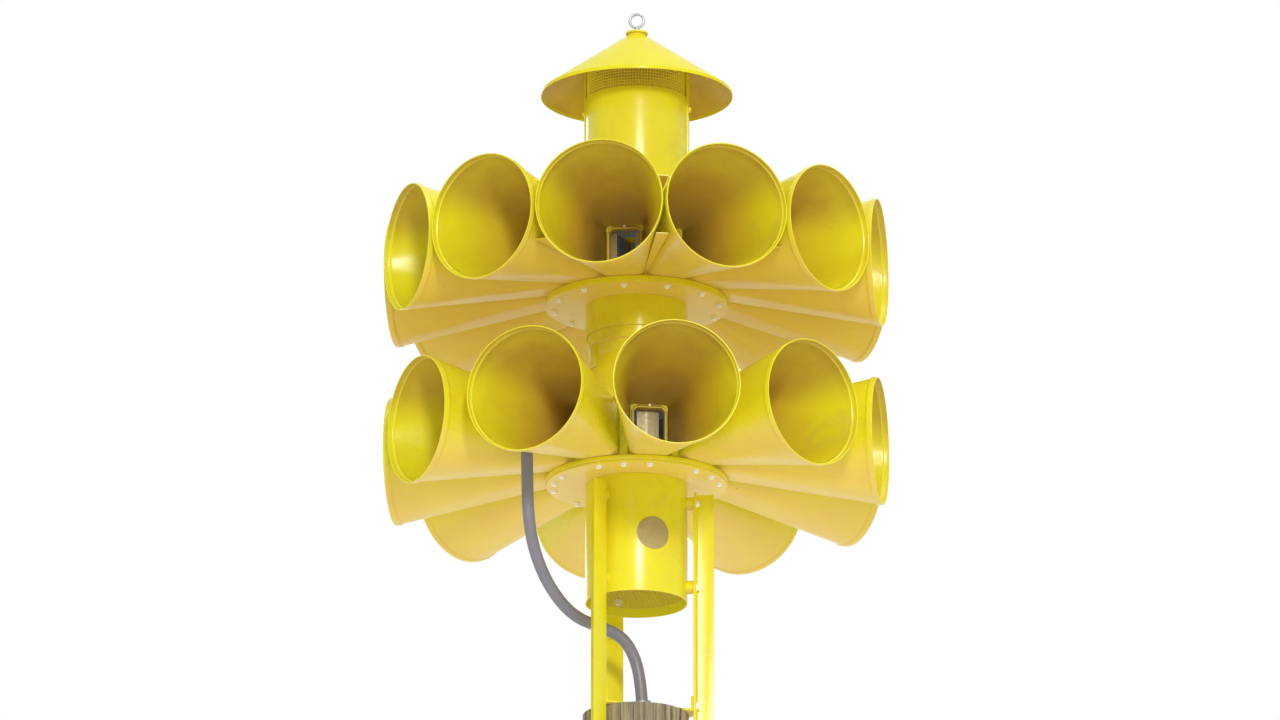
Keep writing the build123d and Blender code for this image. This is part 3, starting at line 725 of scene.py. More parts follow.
def horn_outlines(inset):
    """Partner points round the throat and round the mouth, as (across, up)."""
    corner, mouth_radius = THROAT_CORNER - inset, MOUTH_RADIUS - inset
    corners = rectangle_corners(THROAT_WIDTH / 2 - inset, THROAT_HEIGHT / 2 - inset, corner)
    throat, mouth = [], []
    for (middle, centre), (_, far_centre) in zip(corners, corners[1:] + corners[:1]):
        for step in range(CORNER_STEPS):
            share = step / CORNER_STEPS
            a = math.radians(middle - 45 + 90 * share)
            b = math.radians(middle - 45 + MOUTH_FLAT_ARC / 2 + (90 - MOUTH_FLAT_ARC) * share)
            throat.append(centre + corner * Vector((math.cos(a), math.sin(a))))
            mouth.append(mouth_radius * Vector((math.cos(b), math.sin(b))))
        a = math.radians(middle + 45)
        rim_point = corner * Vector((math.cos(a), math.sin(a)))
        for step in range(FLAT_STEPS):
            share = step / FLAT_STEPS
            b = math.radians(middle + 45 - MOUTH_FLAT_ARC / 2 + MOUTH_FLAT_ARC * share)
            throat.append(centre.lerp(far_centre, share) + rim_point)
            mouth.append(mouth_radius * Vector((math.cos(b), math.sin(b))))
    return throat, mouth


throat_points, mouth_points = horn_outlines(0.0)
print("points round a throat", len(throat_points), "and round a mouth", len(mouth_points))

# %% [markdown]
# ## From outlines to two rings of horns
#
# The mouth is stiffened by a short straight band, about 14 mm deep, that a small
# step joins to the slope, and that band draws the double line round each mouth.
# The sheet has two faces 3 mm apart. The inner one wears the finish with amber
# and deep brown painted shade in it, darker towards the drum. All horns of a
# head are one mesh, since they never move against each other.

# %% One horn, then two rings of them
SLOPE_END = 677.0
SLOPE_BANDS = 16
RIM_OUTSIDE = [(681.0, 178.6), (683.5, 181.3), (686.0, 182.0), (699.2, 182.0), (700.0, 181.4)]
RIM_INSIDE = [(700.0, 179.0), (699.0, 178.2), (686.5, 178.0), (684.8, 177.2), (682.2, 174.2), (679.5, 173.8)]


def horn_rings(inset, outer):
    """The rings of one face of the sheet, from the throat to the mouth."""
    throat, mouth = horn_outlines(inset)
    rings = []
    for band in range(SLOPE_BANDS + 1):
        out = DRUM_FACE + (SLOPE_END - DRUM_FACE) * band / SLOPE_BANDS
        share = (out - DRUM_FACE) / (MOUTH_DISTANCE - DRUM_FACE)
        rings.append([(p.x, -out, p.y) for p in (a.lerp(b, share) for a, b in zip(throat, mouth))])
    for out, radius in RIM_OUTSIDE if outer else reversed(RIM_INSIDE):
        rings.append([(p.x * radius, -out, p.y * radius) for p in (m.normalized() for m in mouth)])
    return rings


def add_horn(form, azimuth, level):
    """One horn, turned to its azimuth at a head's level."""
    outside = horn_rings(0.0, True)
    inside = horn_rings(HORN_WALL, False)[::-1]
    place = Matrix.Rotation(math.radians(azimuth), 4, "Z")
    rings = [[place @ Vector((x, y, z + level)) * MM for x, y, z in ring] for ring in outside + inside]
    tones = [0] * len(outside) + [1] * (len(inside) - 1) + [0]
    skin(form, rings, tones, looped=True)


def horn_ring_piece(name, count, start, level, replaced):
    """All the horns of one head as one piece."""
    form = bmesh.new()
    for i in range(count):
        add_horn(form, start + 360 / count * i, level)
    return add_piece(name, form, [enamel_outside, enamel_throat], [replaced])


for head, ring in HEADS.items():
    horn_ring_piece(f"{head}_horn_shells", *ring, f"{head}_horns")

# %% [markdown]
# ## Joint strips between the upper horns
#
# Twelve horns leave hardly any room between their sides, and on the real siren
# no dark slot shows there: a narrow strip of sheet closes each gap, below and
# above. A flat plate would stand proud, so each strip follows the two horns:
# its half width is the gap to the neighbour at that distance, and its height
# is where the horn's side begins to turn into its round corner.

# %% Close the gaps
STRIP_THICKNESS, STRIP_OVERLAP = 2.0, 1.0
STRIP_FROM, STRIP_TO, STRIP_STEPS = 222.0, 640.0, 12
STRIP_TURN = math.radians(22.0)
SIDE_AT_THROAT = THROAT_HEIGHT / 2 - THROAT_CORNER
SIDE_AT_MOUTH = MOUTH_RADIUS * math.sin(math.radians(MOUTH_FLAT_ARC / 2))
HALF_TURN = math.pi / UPPER_HORNS


def strip_ring(out, azimuth, side):
    """The strip's section at a distance out along the horns."""
    share = (out - DRUM_FACE) / (MOUTH_DISTANCE - DRUM_FACE)
    horn_side = THROAT_WIDTH / 2 + (MOUTH_RADIUS - THROAT_WIDTH / 2) * share
    corner = THROAT_CORNER + (MOUTH_RADIUS - THROAT_CORNER) * share
    gap = (out * math.tan(HALF_TURN) - horn_side) * math.cos(HALF_TURN)
    gap += corner * (1 - math.cos(STRIP_TURN)) + STRIP_OVERLAP
    turned = SIDE_AT_THROAT + (SIDE_AT_MOUTH - SIDE_AT_THROAT) * share + corner * math.sin(STRIP_TURN)
    rise = UPPER_AXIS + side * turned
    across = Vector((math.cos(math.radians(azimuth)), math.sin(math.radians(azimuth)), 0.0))
    middle = polar(azimuth, out / math.cos(HALF_TURN), rise)
    corners = [(-gap, -1), (gap, -1), (gap, 1), (-gap, 1)]
    return [(middle + across * a + Vector((0, 0, up * STRIP_THICKNESS / 2))) * MM for a, up in corners]


def joint_strips():
    """A strip below and above each gap."""
    form = bmesh.new()
    for i in range(UPPER_HORNS):
        for side in (-1, 1):
            azimuth = math.degrees(HALF_TURN) * (2 * i + 1)
            steps = [STRIP_FROM + (STRIP_TO - STRIP_FROM) * k / STRIP_STEPS for k in range(STRIP_STEPS + 1)]
            skin(form, [strip_ring(out, azimuth, side) for out in steps])
    return form


add_piece("upper_horn_joint_strips", joint_strips(), [enamel_outside], capped=True)

# %% [markdown]
# ## Port frames
#
# At the bottom of every horn a port lets the chopped air out of the drum. It
# has a raised frame with round corners, which is pressed, not cut. A bevel on
# the CAD lip would keep its cut corners, so the frame is skinned as its own
# bead: a rounded rectangle swept round the port, with a thin lining that goes
# in through the wall. A small screw sits over each frame.

# %% Frames and screws of the ports
PORT_HALF_WIDTH, PORT_HALF_HEIGHT, PORT_ROUND = 43.0, 62.0, 13.0
FRAME_BEAD = [(9.0, -0.5), (9.0, 5.0), (7.2, 7.6), (4.6, 8.6), (1.9, 7.6), (0.0, 5.0)]
FRAME_LINING = [(0.0, -12.6), (1.6, -12.6)]
PORT_CORNER_STEPS = 8
PORT_SCREW_RISE, PORT_SCREW_OUT = 69.3, 6.0


def port_ring(grow, out):
    """Points round a port, set out from its edge by grow and off the drum by out."""
    points = []
    reach = PORT_ROUND + grow
    for middle, centre in rectangle_corners(PORT_HALF_WIDTH, PORT_HALF_HEIGHT, PORT_ROUND):
        for step in range(PORT_CORNER_STEPS + 1):
            a = math.radians(middle - 45 + 90 * step / PORT_CORNER_STEPS)
            across, up = centre.x + reach * math.cos(a), centre.y + reach * math.sin(a)
            points.append((across, -(DRUM_FACE + out), up))
    return points


def port_frames_piece(name, count, start, level):
    """The frames of one head's ports."""
    form = bmesh.new()
    for i in range(count):
        place = Matrix.Rotation(math.radians(start + 360 / count * i), 4, "Z")
        rings = [port_ring(grow, out) for grow, out in FRAME_BEAD + FRAME_LINING]
        rings = [[place @ Vector((x, y, z + level)) * MM for x, y, z in ring] for ring in rings]
        skin(form, rings, looped=True)
    return add_piece(name, form, [enamel_frames])


def port_screws_piece(name, count, start, level):
    """The screw over each port frame."""
    places = []
    for i in range(count):
        azimuth = start + 360 / count * i
        seat = polar(azimuth, DRUM_FACE + PORT_SCREW_OUT, level + PORT_SCREW_RISE)
        places.append((seat, outward(azimuth), 0.0))
    return bolts_piece(name, places, PORT_SCREW)


for head, ring in HEADS.items():
    port_frames_piece(f"{head}_port_frames", *ring)
    port_screws_piece(f"{head}_port_screws", *ring)

# %% [markdown]
# ## Plates of the heads
#
# Two thick round plates close each head. Their outer edges are the bright bands
# under the horns, so they need an edge radius that the light can follow. They
# are turned parts, spun from a rectangle with rounded corners. The lowest plate
# has a thinner clamp ring under it.

# %% Turn the four plates and the clamp ring
PLATE_RADIUS, SHAFT_HOLE, INTAKE_HOLE = 260.0, 25.0, 118.0
PLATES = {
    "upper_top_plate": (INTAKE_HOLE, 14495.5, 14515.5, PLATE_RADIUS),
    "upper_bottom_plate": (SHAFT_HOLE, 14304.5, 14324.5, PLATE_RADIUS),
    "lower_top_plate": (SHAFT_HOLE, 13965.5, 13985.5, PLATE_RADIUS),
    "lower_bottom_plate": (INTAKE_HOLE, 13781.5, 13794.5, PLATE_RADIUS),
    "lower_clamp_ring": (INTAKE_HOLE, 13774.5, 13781.5, 257.0),
}
PLATE_EDGE = 2.2

for node, sizes in PLATES.items():
    turned_piece(f"{node}_turned", flat_ring(*sizes), node, radius=PLATE_EDGE)

# %% [markdown]
# ## Bolts of the plates
#
# Long bolts run down through each head, one at each horn, so the same circle of
# small heads shows below and above. The clamp ring has five more. No two heads
# stop at the same angle, so each is turned a little further than the last.

# %% Bolt the plates
BOLT_CIRCLE = 237.0
HEAD_TWIST = 1.7
CLAMP_EXTRA_BOLTS = 5


def bolt_circle_piece(name, azimuths, level, axis):
    """A circle of bolt heads on one face of a plate."""
    places = []
    for azimuth in azimuths:
        turn = math.radians(azimuth * HEAD_TWIST)
        places.append((polar(azimuth, BOLT_CIRCLE, level), (0, 0, axis), turn))
    return bolts_piece(name, places, PLATE_BOLT)


upper_turns = [360.0 / UPPER_HORNS * i for i in range(UPPER_HORNS)]
lower_turns = [LOWER_START + 360.0 / LOWER_HORNS * i for i in range(LOWER_HORNS)]
clamp_turns = lower_turns + [360.0 / CLAMP_EXTRA_BOLTS * i for i in range(CLAMP_EXTRA_BOLTS)]
bolt_circle_piece("upper_head_bolts_below", upper_turns, PLATES["upper_bottom_plate"][1], -1)
bolt_circle_piece("upper_head_nuts_above", upper_turns, PLATES["upper_top_plate"][2], 1)
bolt_circle_piece("lower_head_bolts_below", clamp_turns, PLATES["lower_clamp_ring"][1], -1)
bolt_circle_piece("lower_head_nuts_above", lower_turns, PLATES["lower_top_plate"][2], 1)

# %% [markdown]
# ## Ducts
#
# Air comes in through a short duct above the upper head and another under the
# lower one. Both are rolled from sheet, with one welded seam down the back. A
# straight tube with rounded edges does for the body. The seam could be bump in
# the paint, but then its outline would stay flat, so it is a low bead of its own
# that swells and narrows a little, as weld does.

# %% Roll the two ducts
DUCT_OUTER, DUCT_INNER = 145.0, 142.0
UPPER_DUCT = (14515.5, 14926.0)
LOWER_DUCT = (13429.0, 13774.5)
SEAM_HALF, SEAM_CROWN, SEAM_RISE = 5.0, 2.5, 1.0
SEAM_EDGE_SINK, SEAM_ROOT, SEAM_SHOULDER = -0.4, -1.2, 0.8
SEAM_STEPS, SEAM_SWELL, SEAM_WAVE = 40, 0.15, 2.1
SEAM_AZIMUTH = 176.0


def seam_piece(name, azimuth, low, high):
    """A low weld bead up the side of a duct."""
    form = bmesh.new()
    rings = []
    for step in range(SEAM_STEPS + 1):
        up = low + (high - low) * step / SEAM_STEPS
        swell = 1.0 + SEAM_SWELL * math.sin(step * SEAM_WAVE)
        shoulder = SEAM_RISE * SEAM_SHOULDER
        section = [(-SEAM_HALF * swell, SEAM_EDGE_SINK), (-SEAM_CROWN * swell, shoulder), (0.0, SEAM_RISE)]
        section += [(SEAM_CROWN * swell, shoulder), (SEAM_HALF * swell, SEAM_EDGE_SINK), (0.0, SEAM_ROOT)]
        ring = []
        for across, rise in section:
            ring.append(polar(azimuth + math.degrees(across / DUCT_OUTER), DUCT_OUTER + rise, up) * MM)
        rings.append(ring)
    skin(form, rings)
    return add_piece(name, form, [enamel_outside], capped=True)


turned_piece("upper_duct_rolled", flat_ring(DUCT_INNER, *UPPER_DUCT, DUCT_OUTER), "upper_duct")
turned_piece("lower_duct_rolled", flat_ring(DUCT_INNER, *LOWER_DUCT, DUCT_OUTER), "lower_duct")
seam_piece("upper_duct_seam", SEAM_AZIMUTH, UPPER_DUCT[0] + 2, UPPER_DUCT[1] - 4)
seam_piece("lower_duct_seam", SEAM_AZIMUTH, LOWER_DUCT[0] + 4, LOWER_DUCT[1] - 2)

# %% [markdown]
# ## The round plate on the lower duct
#
# A thin round plate is fixed on the lower duct's front, plain and dull tan. A
# flat disc would cut into the round duct, so its points are laid on a circle
# first and then bent round the duct's axis. Its finish is the zinc recipe with
# tan colours and almost no metal in it.

# %% Bend the disc to the duct
DISC_AZIMUTH, DISC_LEVEL, DISC_RADIUS, DISC_PROUD = 28.3, 13600.0, 48.0, 1.2
DISC_SINK, DISC_EDGE, DISC_POINTS = 0.3, 0.5, 64
DISC_BANDS = (0.8, 0.6, 0.4, 0.2, 0.0)
DISC_TAN, DISC_BROWN = (0.46, 0.36, 0.13, 1.0), (0.38, 0.29, 0.11, 1.0)


def disc_ring(radius, proud):
    """A circle drawn on the duct's surface, a little proud of it."""
    ring = []
    for i in range(DISC_POINTS):
        a = 2 * math.pi * i / DISC_POINTS
        turn = math.degrees(radius * math.cos(a) / DUCT_OUTER)
        level = DISC_LEVEL + radius * math.sin(a)
        ring.append(polar(DISC_AZIMUTH + turn, DUCT_OUTER + proud, level) * MM)
    return ring


form = bmesh.new()
steps = [(DISC_RADIUS, -DISC_SINK), (DISC_RADIUS, DISC_PROUD - DISC_SINK)]
steps += [(DISC_RADIUS - DISC_EDGE, DISC_PROUD)]
steps += [(DISC_RADIUS * share, DISC_PROUD) for share in DISC_BANDS]
skin(form, [disc_ring(radius, proud) for radius, proud in steps])
bare_disc = zinc("dull_tan_disc", DISC_TAN, DISC_BROWN, 0.05, 0.45)
add_piece("bare_round_plate", form, [bare_disc])

# %% [markdown]
# ## Intake screens
#
# A square mesh keeps birds out of both intakes: a sleeve of it stands between
# the upper duct and the rain cap, and a flat sheet with wider cells lies across
# the lower duct. From afar it reads as a grain of tiny dark holes, which a
# texture could give, but then no light would pass. So it is made as real wire:
# a grid whose every edge becomes a thin square bar. The Wireframe modifier does
# exactly that.

# %% Weave the screens
SLEEVE_PITCH, SLEEVE_WIRE, SLEEVE_INSET = 8.4, 2.5, 1.6
FLAT_PITCH, FLAT_WIRE, FLAT_INSET, FLAT_WELD = 12.0, 1.3, 1.0, 0.8
UPPER_SCREEN = (14918.0, 15030.0)
LOWER_SCREEN_LEVEL = LOWER_DUCT[0] + 27.5
# a tan film under the lower mesh's wires, which is also painted shade
LOWER_WIRE_FILM_AND_SHADE = (0.66, 0.45, 0.14, 1.0)
WIRE_CREASE = 40.0


def wired(name, form, wire, finish, replaced):
    """Turns a grid's edges into thin bars and makes a piece of them."""
    woven = modified(form, "WIREFRAME", thickness=wire * MM, use_even_offset=False, use_boundary=True)
    return add_piece(name, woven, [finish], [replaced], crease=WIRE_CREASE)


def upper_mesh():
    """A cylinder of square cells."""
    form = bmesh.new()
    low, high = UPPER_SCREEN
    radius = DUCT_INNER - SLEEVE_INSET
    count = round(2 * math.pi * radius / SLEEVE_PITCH)
    rows = round((high - low) / SLEEVE_PITCH)
    skin(form, [round_ring(radius, low + (high - low) * k / rows, count) for k in range(rows + 1)])
    return form


def lower_mesh():
    """A round sheet of square cells across the duct."""
    form = bmesh.new()
    radius = DUCT_INNER - FLAT_INSET
    reach = int(radius // FLAT_PITCH) + 1
    knots = {}

    def knot(i, j):
        """The corner of a cell, pulled in to the duct's wall where it lies beyond it."""
        if (i, j) not in knots:
            point = Vector((i * FLAT_PITCH, j * FLAT_PITCH))
            if point.length > radius:
                point = point.normalized() * radius
            knots[i, j] = form.verts.new((point.x * MM, point.y * MM, LOWER_SCREEN_LEVEL * MM))
        return knots[i, j]

    for i in range(-reach, reach):
        for j in range(-reach, reach):
            inside = [Vector((i + a, j + b)).length * FLAT_PITCH < radius for a in (0, 1) for b in (0, 1)]
            if any(inside):
                form.faces.new((knot(i, j), knot(i + 1, j), knot(i + 1, j + 1), knot(i, j + 1)))
    bmesh.ops.remove_doubles(form, verts=form.verts, dist=FLAT_WELD * MM)
    return form


screen_paint = enamel("yellow_enamel_on_wire", film_and_shade=0.3, dust=0.8, gloss=0.5)
# the lower mesh's wires get a tan underside film that is also painted shade
lower_paint = enamel("yellow_enamel_on_lower_wire", film_and_shade_tone=LOWER_WIRE_FILM_AND_SHADE, dust=1.6, gloss=0.5)
wired("upper_intake_mesh", upper_mesh(), SLEEVE_WIRE, screen_paint, "upper_intake_screen")
wired("lower_intake_mesh", lower_mesh(), FLAT_WIRE, lower_paint, "lower_intake_screen")

# %% [markdown]
# ## Rain cap and lifting eye
#
# The cap is a cone of sheet with a short lip turned down at its edge, and on top
# a narrow neck with a flange. Spun metal has a soft shoulder where slope and lip
# meet, which shows as a bright line. It could be built up from a cone and rings,
# but one closed outline on the lathe gives the slope, the lip and both faces of
# the sheet at once. Weather has made the slope matt, so its paint shines less. A
# galvanised ring on a shank stands in the neck, for lifting the siren.

# %% Spin the cap
CAP_RADIUS, CAP_WALL, CAP_RIM, CAP_SHOULDER = 274.0, 2.5, 14936.0, 14946.0
NECK_RADIUS, NECK, SHANK_RADIUS = 29.0, 15117.0, 6.0
COLLAR_RADIUS, COLLAR_TOP, FLANGE, NOTCH = 32.0, 15130.0, 6.5, 3.5
NECK_STEP, BORE_INSET = 0.5, 0.5
CAP_EDGE, CAP_STEPS = 2.0, 200
cap_slope = (NECK - CAP_SHOULDER) / (CAP_RADIUS - NECK_RADIUS)
sheet_drop = CAP_WALL * math.hypot(1, cap_slope)
cap_outline = [
    (CAP_RADIUS, CAP_RIM),
    (CAP_RADIUS, CAP_SHOULDER),
    (NECK_RADIUS, NECK),
    (NECK_RADIUS - NOTCH, NECK + NECK_STEP),
    (NECK_RADIUS - NOTCH, COLLAR_TOP - FLANGE),
    (COLLAR_RADIUS, COLLAR_TOP - FLANGE),
    (COLLAR_RADIUS, COLLAR_TOP),
    (SHANK_RADIUS - BORE_INSET, COLLAR_TOP),
    (SHANK_RADIUS - BORE_INSET, NECK - sheet_drop),
    (NECK_RADIUS, NECK - sheet_drop),
    (CAP_RADIUS - CAP_WALL, CAP_SHOULDER - sheet_drop + CAP_WALL * cap_slope),
    (CAP_RADIUS - CAP_WALL, CAP_RIM),
]
# the cap's underside gets the darker film, which is painted shade
cap_paint = enamel("yellow_enamel_on_cap", film_and_shade_tone=CAP_FILM_AND_SHADE, shine=0.3)
turned_piece("rain_cap_spun", cap_outline, "rain_cap", cap_paint, CAP_EDGE, CAP_STEPS)

# %% [markdown]
# ## Softening what stays
#
# The legs, the straps and the plate on the pole already have the right shape in
# the CAD model. Only their knife-sharp edges give them away. They could be drawn
# again, but a copy of each with a narrow bevel on every corner sharper than 30
# degrees is quicker and truer, and stands in for its node.

# %% Rounded copies of the bar and plate pieces
ROUND_EDGE, ROUND_SEGMENTS, ROUND_OVER_DEGREES = 0.9, 2, 30.0
COPY_WELD, FLAT_WITHIN_DEGREES = 0.02, 0.6
BAR_NODES = ["leg_front_left", "leg_right", "leg_rear_left"]
BAR_NODES += ["cap_strap_left", "cap_strap_right", "pole_cap_plate"]


def rounded_copy(node):
    """A copy of a CAD node with its edges rounded by a narrow bevel."""
    form = bmesh.new()
    form.from_mesh(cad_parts[node].data)
    bmesh.ops.remove_doubles(form, verts=form.verts, dist=COPY_WELD * MM)
    flat_within = math.radians(FLAT_WITHIN_DEGREES)
    bmesh.ops.dissolve_limit(form, angle_limit=flat_within, verts=form.verts, edges=form.edges)
    sizes = {"width": ROUND_EDGE * MM, "segments": ROUND_SEGMENTS}
    limit = {"limit_method": "ANGLE", "angle_limit": math.radians(ROUND_OVER_DEGREES)}
    rounded = modified(form, "BEVEL", **sizes, **limit)
    return add_piece(node + "_finished", rounded, [enamel_outside], [node])


for node in BAR_NODES:
    rounded_copy(node)

# %% [markdown]
# ## Finishes for what stays as it is
#
# The drums, the stand-off tubes, the lifting eye, the rotors on their shaft, the
# packing blocks and the conduit's two ends keep their CAD shape. Their finish
# goes straight into the node's material slot, which changes no mesh. The drums
# stand in the dark behind the horns, and their finish has heavier dust streaks
# and patches, which also paint shade on them. The shaft, the packing blocks and
# the conduit's two ends wear zinc that has gone dull.

# %% Finish the CAD nodes that stay
KEPT_NODES = {
    "upper_stator_drum": enamel_with_painted_shade,
    "lower_stator_drum": enamel_with_painted_shade,
    "leg_standoffs": enamel_outside,
    "leg_pole_spacers": zinc_dull,
    "lifting_eye": zinc_plate,
    "rotor_shaft": zinc_dull,
    "upper_rotor": rotor_alloy,
    "lower_rotor": rotor_alloy,
    "conduit_gland": zinc_dull,
    "conduit_hub": zinc_dull,
}
for node, finish in KEPT_NODES.items():
    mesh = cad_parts[node].data
    mesh.materials.clear()
    mesh.materials.append(finish)
print("finished CAD nodes", sorted(KEPT_NODES))

# %% [markdown]
# ## Motor
#
# The motor fills the gap between the heads. A smooth skirt hangs from the upper
# head, another stands on the lower one, and between them the motor's own body
# shows, narrower than the bell at each of its ends, with one joint line round
# its middle. It is turned like the plates. The joint could be a line of dark
# paint, but a groove 1.5 mm deep in the outline catches real shade.

# %% Turn the motor and its skirts
MOTOR_LOW, MOTOR_HIGH = 13985.5, 14304.5
LOWER_SKIRT_TOP, UPPER_SKIRT_LOW = 14071.5, 14213.5
BELL_RADIUS, BODY_RADIUS, SKIRT_INNER = 141.0, 134.0, 142.5
LOWER_BELL_TOP, UPPER_BELL_LOW, BELL_SLOPE = 14104.5, 14180.5, 2.5
JOINT_LOW, JOINT_HIGH, JOINT_SLOPE, JOINT_DEPTH = 14140.0, 14145.0, 1.0, 1.5
BORE, MOTOR_EDGE = 19.5, 1.0
motor_outline = [
    (BORE, MOTOR_LOW),
    (BELL_RADIUS, MOTOR_LOW),
    (BELL_RADIUS, LOWER_BELL_TOP),
    (BODY_RADIUS, LOWER_BELL_TOP + BELL_SLOPE),
    (BODY_RADIUS, JOINT_LOW),
    (BODY_RADIUS - JOINT_DEPTH, JOINT_LOW + JOINT_SLOPE),
    (BODY_RADIUS - JOINT_DEPTH, JOINT_HIGH - JOINT_SLOPE),
    (BODY_RADIUS, JOINT_HIGH),
    (BODY_RADIUS, UPPER_BELL_LOW - BELL_SLOPE),
    (BELL_RADIUS, UPPER_BELL_LOW),
    (BELL_RADIUS, MOTOR_HIGH),
    (BORE, MOTOR_HIGH),
]
turned_piece("motor_housing_turned", motor_outline, "motor_housing", radius=MOTOR_EDGE)
lower_skirt = flat_ring(SKIRT_INNER, MOTOR_LOW, LOWER_SKIRT_TOP, DUCT_OUTER)
upper_skirt = flat_ring(SKIRT_INNER, UPPER_SKIRT_LOW, MOTOR_HIGH, DUCT_OUTER)
turned_piece("motor_lower_skirt_turned", lower_skirt, "motor_lower_skirt")
turned_piece("motor_upper_skirt_turned", upper_skirt, "motor_upper_skirt")

# %% [markdown]
# ## Skirt seams and the terminal cover
#
# The upper skirt is bent from two sheets, so it has an upright seam on each side
# of the front. They are made by the same recipe as the ducts' seams. On the left
# a shallow plate covers the motor's terminals. A box would stand off the round
# body, so a rounded section is swept along the body's own curve.

# %% Seams and cover
LAP_AZIMUTH, BUTT_AZIMUTH, SEAM_MARGIN = 40.3, -40.8, 1.0
COVER_AZIMUTH, COVER_HALF_TURN, COVER_STEPS = -56.0, 7.0, 12
COVER_PROUD, COVER_SINK, COVER_EDGE = 4.0, 1.0, 1.5
COVER_LOW, COVER_HIGH = 14110.0, 14176.0
for side, azimuth in (("lap", LAP_AZIMUTH), ("butt", BUTT_AZIMUTH)):
    low, high = UPPER_SKIRT_LOW + SEAM_MARGIN, MOTOR_HIGH - SEAM_MARGIN
    seam_piece(f"motor_skirt_{side}_seam", azimuth, low, high)


def curved_cover():
    """A shallow plate bent to the motor's body, with rounded edges."""
    form = bmesh.new()
    outline = flat_ring(BODY_RADIUS - COVER_SINK, COVER_LOW, COVER_HIGH, BODY_RADIUS + COVER_PROUD)
    section = softened(outline, COVER_EDGE)
    rings = []
    for step in range(COVER_STEPS + 1):
        azimuth = COVER_AZIMUTH + COVER_HALF_TURN * (2 * step / COVER_STEPS - 1)
        rings.append([polar(azimuth, out, up) * MM for out, up in section])
    skin(form, rings)
    return form


add_piece("motor_terminal_cover", curved_cover(), [enamel_outside], capped=True)

# %% [markdown]
# ## Bolts of the stand and the cap
#
# Each leg is bolted to two stand-off tubes, to the plate on the pole's top and
# through packing blocks into the pole. The heads sit on the outer face of the
# leg's flat side. The heads inside the lower duct belong to the same stand-off
# bolts. The straps that carry the rain cap have painted heads. The bolt recipe
# serves all of them with other sizes, so that they look like one family.

# %% Bolt the stand, the duct and the straps
LEG_FACE = 173.0
LEG_AZIMUTHS = (-30.0, 90.0, 210.0)
STANDOFF_RISES = (371.0, 617.0)
LEG_BOLT_RISES = STANDOFF_RISES + (22.0, -210.0, -520.0)
STRAP_FACE, STRAP_AZIMUTHS = 150.0, (-90.0, 90.0)
STRAP_BOLT_LEVELS = (14892.0, 14620.0)

leg_places, duct_places, strap_places = [], [], []
for azimuth in LEG_AZIMUTHS:
    for rise in LEG_BOLT_RISES:
        leg_places.append((polar(azimuth, LEG_FACE, POLE_TOP + rise), outward(azimuth), rise))
    for rise in STANDOFF_RISES:
        duct_places.append((polar(azimuth, DUCT_INNER, POLE_TOP + rise), -outward(azimuth), 0.0))
for azimuth in STRAP_AZIMUTHS:
    for level in STRAP_BOLT_LEVELS:
        strap_places.append((polar(azimuth, STRAP_FACE, level), outward(azimuth), 0.0))
bolts_piece("leg_bolts", leg_places, STAND_BOLT)
bolts_piece("duct_inside_bolts", duct_places, STAND_BOLT)
bolts_piece("strap_bolts", strap_places, STRAP_BOLT, enamel_outside)

# %% [markdown]
# ## The wood pole
#
# The pole is a whole trunk, dressed round and tapered, grey-brown from weather:
# straw-pale ridges with dark lines between them, under a grey bloom. A ready
# wave texture would draw regular stripes. Noise that is squeezed across the
# trunk and drawn out along it gives uneven fibres, and the same noise drives the
# colour and the bump, so that each dark line is also a sunk one.

# %% Recipe for weathered wood
WOOD_STRAW = (0.47, 0.38, 0.205, 1.0)
WOOD_BROWN = (0.185, 0.143, 0.068, 1.0)
WOOD_DARK = (0.045, 0.035, 0.018, 1.0)
WOOD_GREY = (0.32, 0.30, 0.235, 1.0)
GRAIN_ACROSS, GRAIN_ALONG = 62.0, 1.7
FIBRES_ACROSS, FIBRES_ALONG = 260.0, 3.2
BLOOM_ACROSS, BLOOM_ALONG = 7.0, 1.1
WOOD_ROUGHNESS, WOOD_BUMP, WOOD_RELIEF, FIBRE_SHARE = 0.85, 0.9, 4.0, 0.5


def weathered_wood(name):
    """Upright grain with dark checks and a grey bloom."""
    material, tree, shader = new_finish(name)
    grain = cloud(tree, stretched(tree, GRAIN_ACROSS, GRAIN_ALONG), 1.0, 7.0, 0.68, 0.35)
    fibres = cloud(tree, stretched(tree, FIBRES_ACROSS, FIBRES_ALONG), 1.0, 4.0, 0.6)
    colour = blended(tree, mask(tree, grain, 0.36, 0.62), WOOD_BROWN, WOOD_STRAW)
    weather = cloud(tree, stretched(tree, BLOOM_ACROSS, BLOOM_ALONG), 1.0, 5.0)
    colour = blended(tree, mask(tree, weather, 0.42, 0.7, top=0.55), colour, WOOD_GREY)
    lines = mask(tree, fibres, 0.50, 0.30, top=0.85)
    colour = blended(tree, lines, colour, WOOD_DARK)
    checks = mask(tree, grain, 0.40, 0.30, top=0.9)
    colour = blended(tree, checks, colour, WOOD_DARK)
    tree.links.new(colour, shader.inputs["Base Color"])
    shader.inputs["Roughness"].default_value = WOOD_ROUGHNESS
    height = combined(tree, "ADD", combined(tree, "MULTIPLY", fibres, FIBRE_SHARE), grain)
    relief(tree, shader, height, WOOD_BUMP, WOOD_RELIEF)
    return material


pole_wood = weathered_wood("weathered_wood")
print("wood finish", pole_wood.name)

# %% [markdown]
# ## The trunk's surface
#
# Drying opens long upright checks in a trunk, and its surface is never a true
# cone. Bump alone would leave the outline too clean, so the surface is moved: a
# fine mesh round the trunk swells a little, and is sunk along narrow lines where
# a slow noise crosses zero. The trunk only ever moves inward from the CAD cone,
# so it never stands outside the CAD pole.

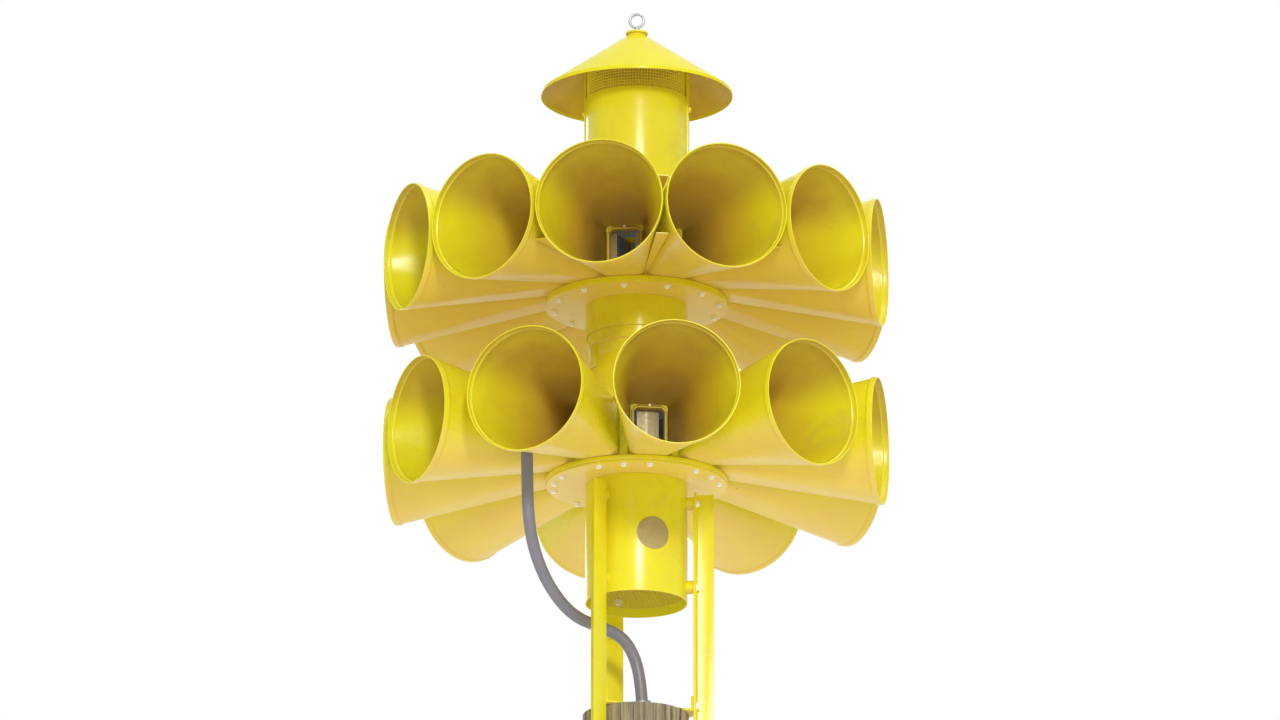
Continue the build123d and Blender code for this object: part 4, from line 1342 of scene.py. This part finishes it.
# %% Shape the trunk
POLE_FOOT_RADIUS, POLE_TOP_RADIUS = 222.0, 152.0
POLE_AROUND, POLE_ALONG = 300, 150
CHECK_DEPTH, CHECK_WIDTH = 9.0, 0.055
CHECK_TURN, CHECK_RUN = 9.0, 0.0016
PATCH_TURN, PATCH_RUN, PATCH_START, PATCH_CONTRAST = 2.0, 0.0009, 7.0, 1.6
SWELL_TURN, SWELL_RUN, SWELL_MOST = 1.3, 0.0011, 2.5
FIBRE_TURN, FIBRE_RUN, ROUGH_DEPTH = 38.0, 0.004, 3.0
POLE_CREASE = 50.0


def drift(spot, turn, run, level, start=0.0):
    """Slow noise on the trunk: turn sets its size round the trunk, run its size along it."""
    return noise.noise(spot * turn + Vector((0.0, 0.0, level * run + start)))


def trunk_radius(angle, level):
    """The trunk's radius in a direction at a height: a cone with checks sunk into it."""
    share = level / POLE_TOP
    radius = POLE_FOOT_RADIUS + (POLE_TOP_RADIUS - POLE_FOOT_RADIUS) * share
    spot = Vector((math.cos(angle), math.sin(angle), 0.0))
    swell = drift(spot, SWELL_TURN, SWELL_RUN, level) * SWELL_MOST
    line = abs(drift(spot, CHECK_TURN, CHECK_RUN, level))
    check = max(0.0, 1.0 - line / CHECK_WIDTH)
    patchy = drift(spot, PATCH_TURN, PATCH_RUN, level, PATCH_START)
    patch = max(0.0, min(1.0, 0.5 + PATCH_CONTRAST * patchy))
    fibre = drift(spot, FIBRE_TURN, FIBRE_RUN, level)
    return radius - ROUGH_DEPTH + min(ROUGH_DEPTH, swell + fibre) - CHECK_DEPTH * check * patch


def trunk_form():
    """The trunk's side and its two ends."""
    form = bmesh.new()
    rings = [[Vector((0.0, 0.0, 0.0))] * POLE_AROUND]
    for step in range(POLE_ALONG + 1):
        level = POLE_TOP * step / POLE_ALONG
        ring = []
        for i in range(POLE_AROUND):
            angle = 2 * math.pi * i / POLE_AROUND
            radius = trunk_radius(angle, level)
            ring.append(Vector((radius * math.cos(angle), radius * math.sin(angle), level)) * MM)
        rings.append(ring)
    rings.append([Vector((0.0, 0.0, POLE_TOP * MM))] * POLE_AROUND)
    skin(form, rings)
    return form


add_piece("weathered_pole", trunk_form(), [pole_wood], ["wood_pole"], crease=POLE_CREASE)
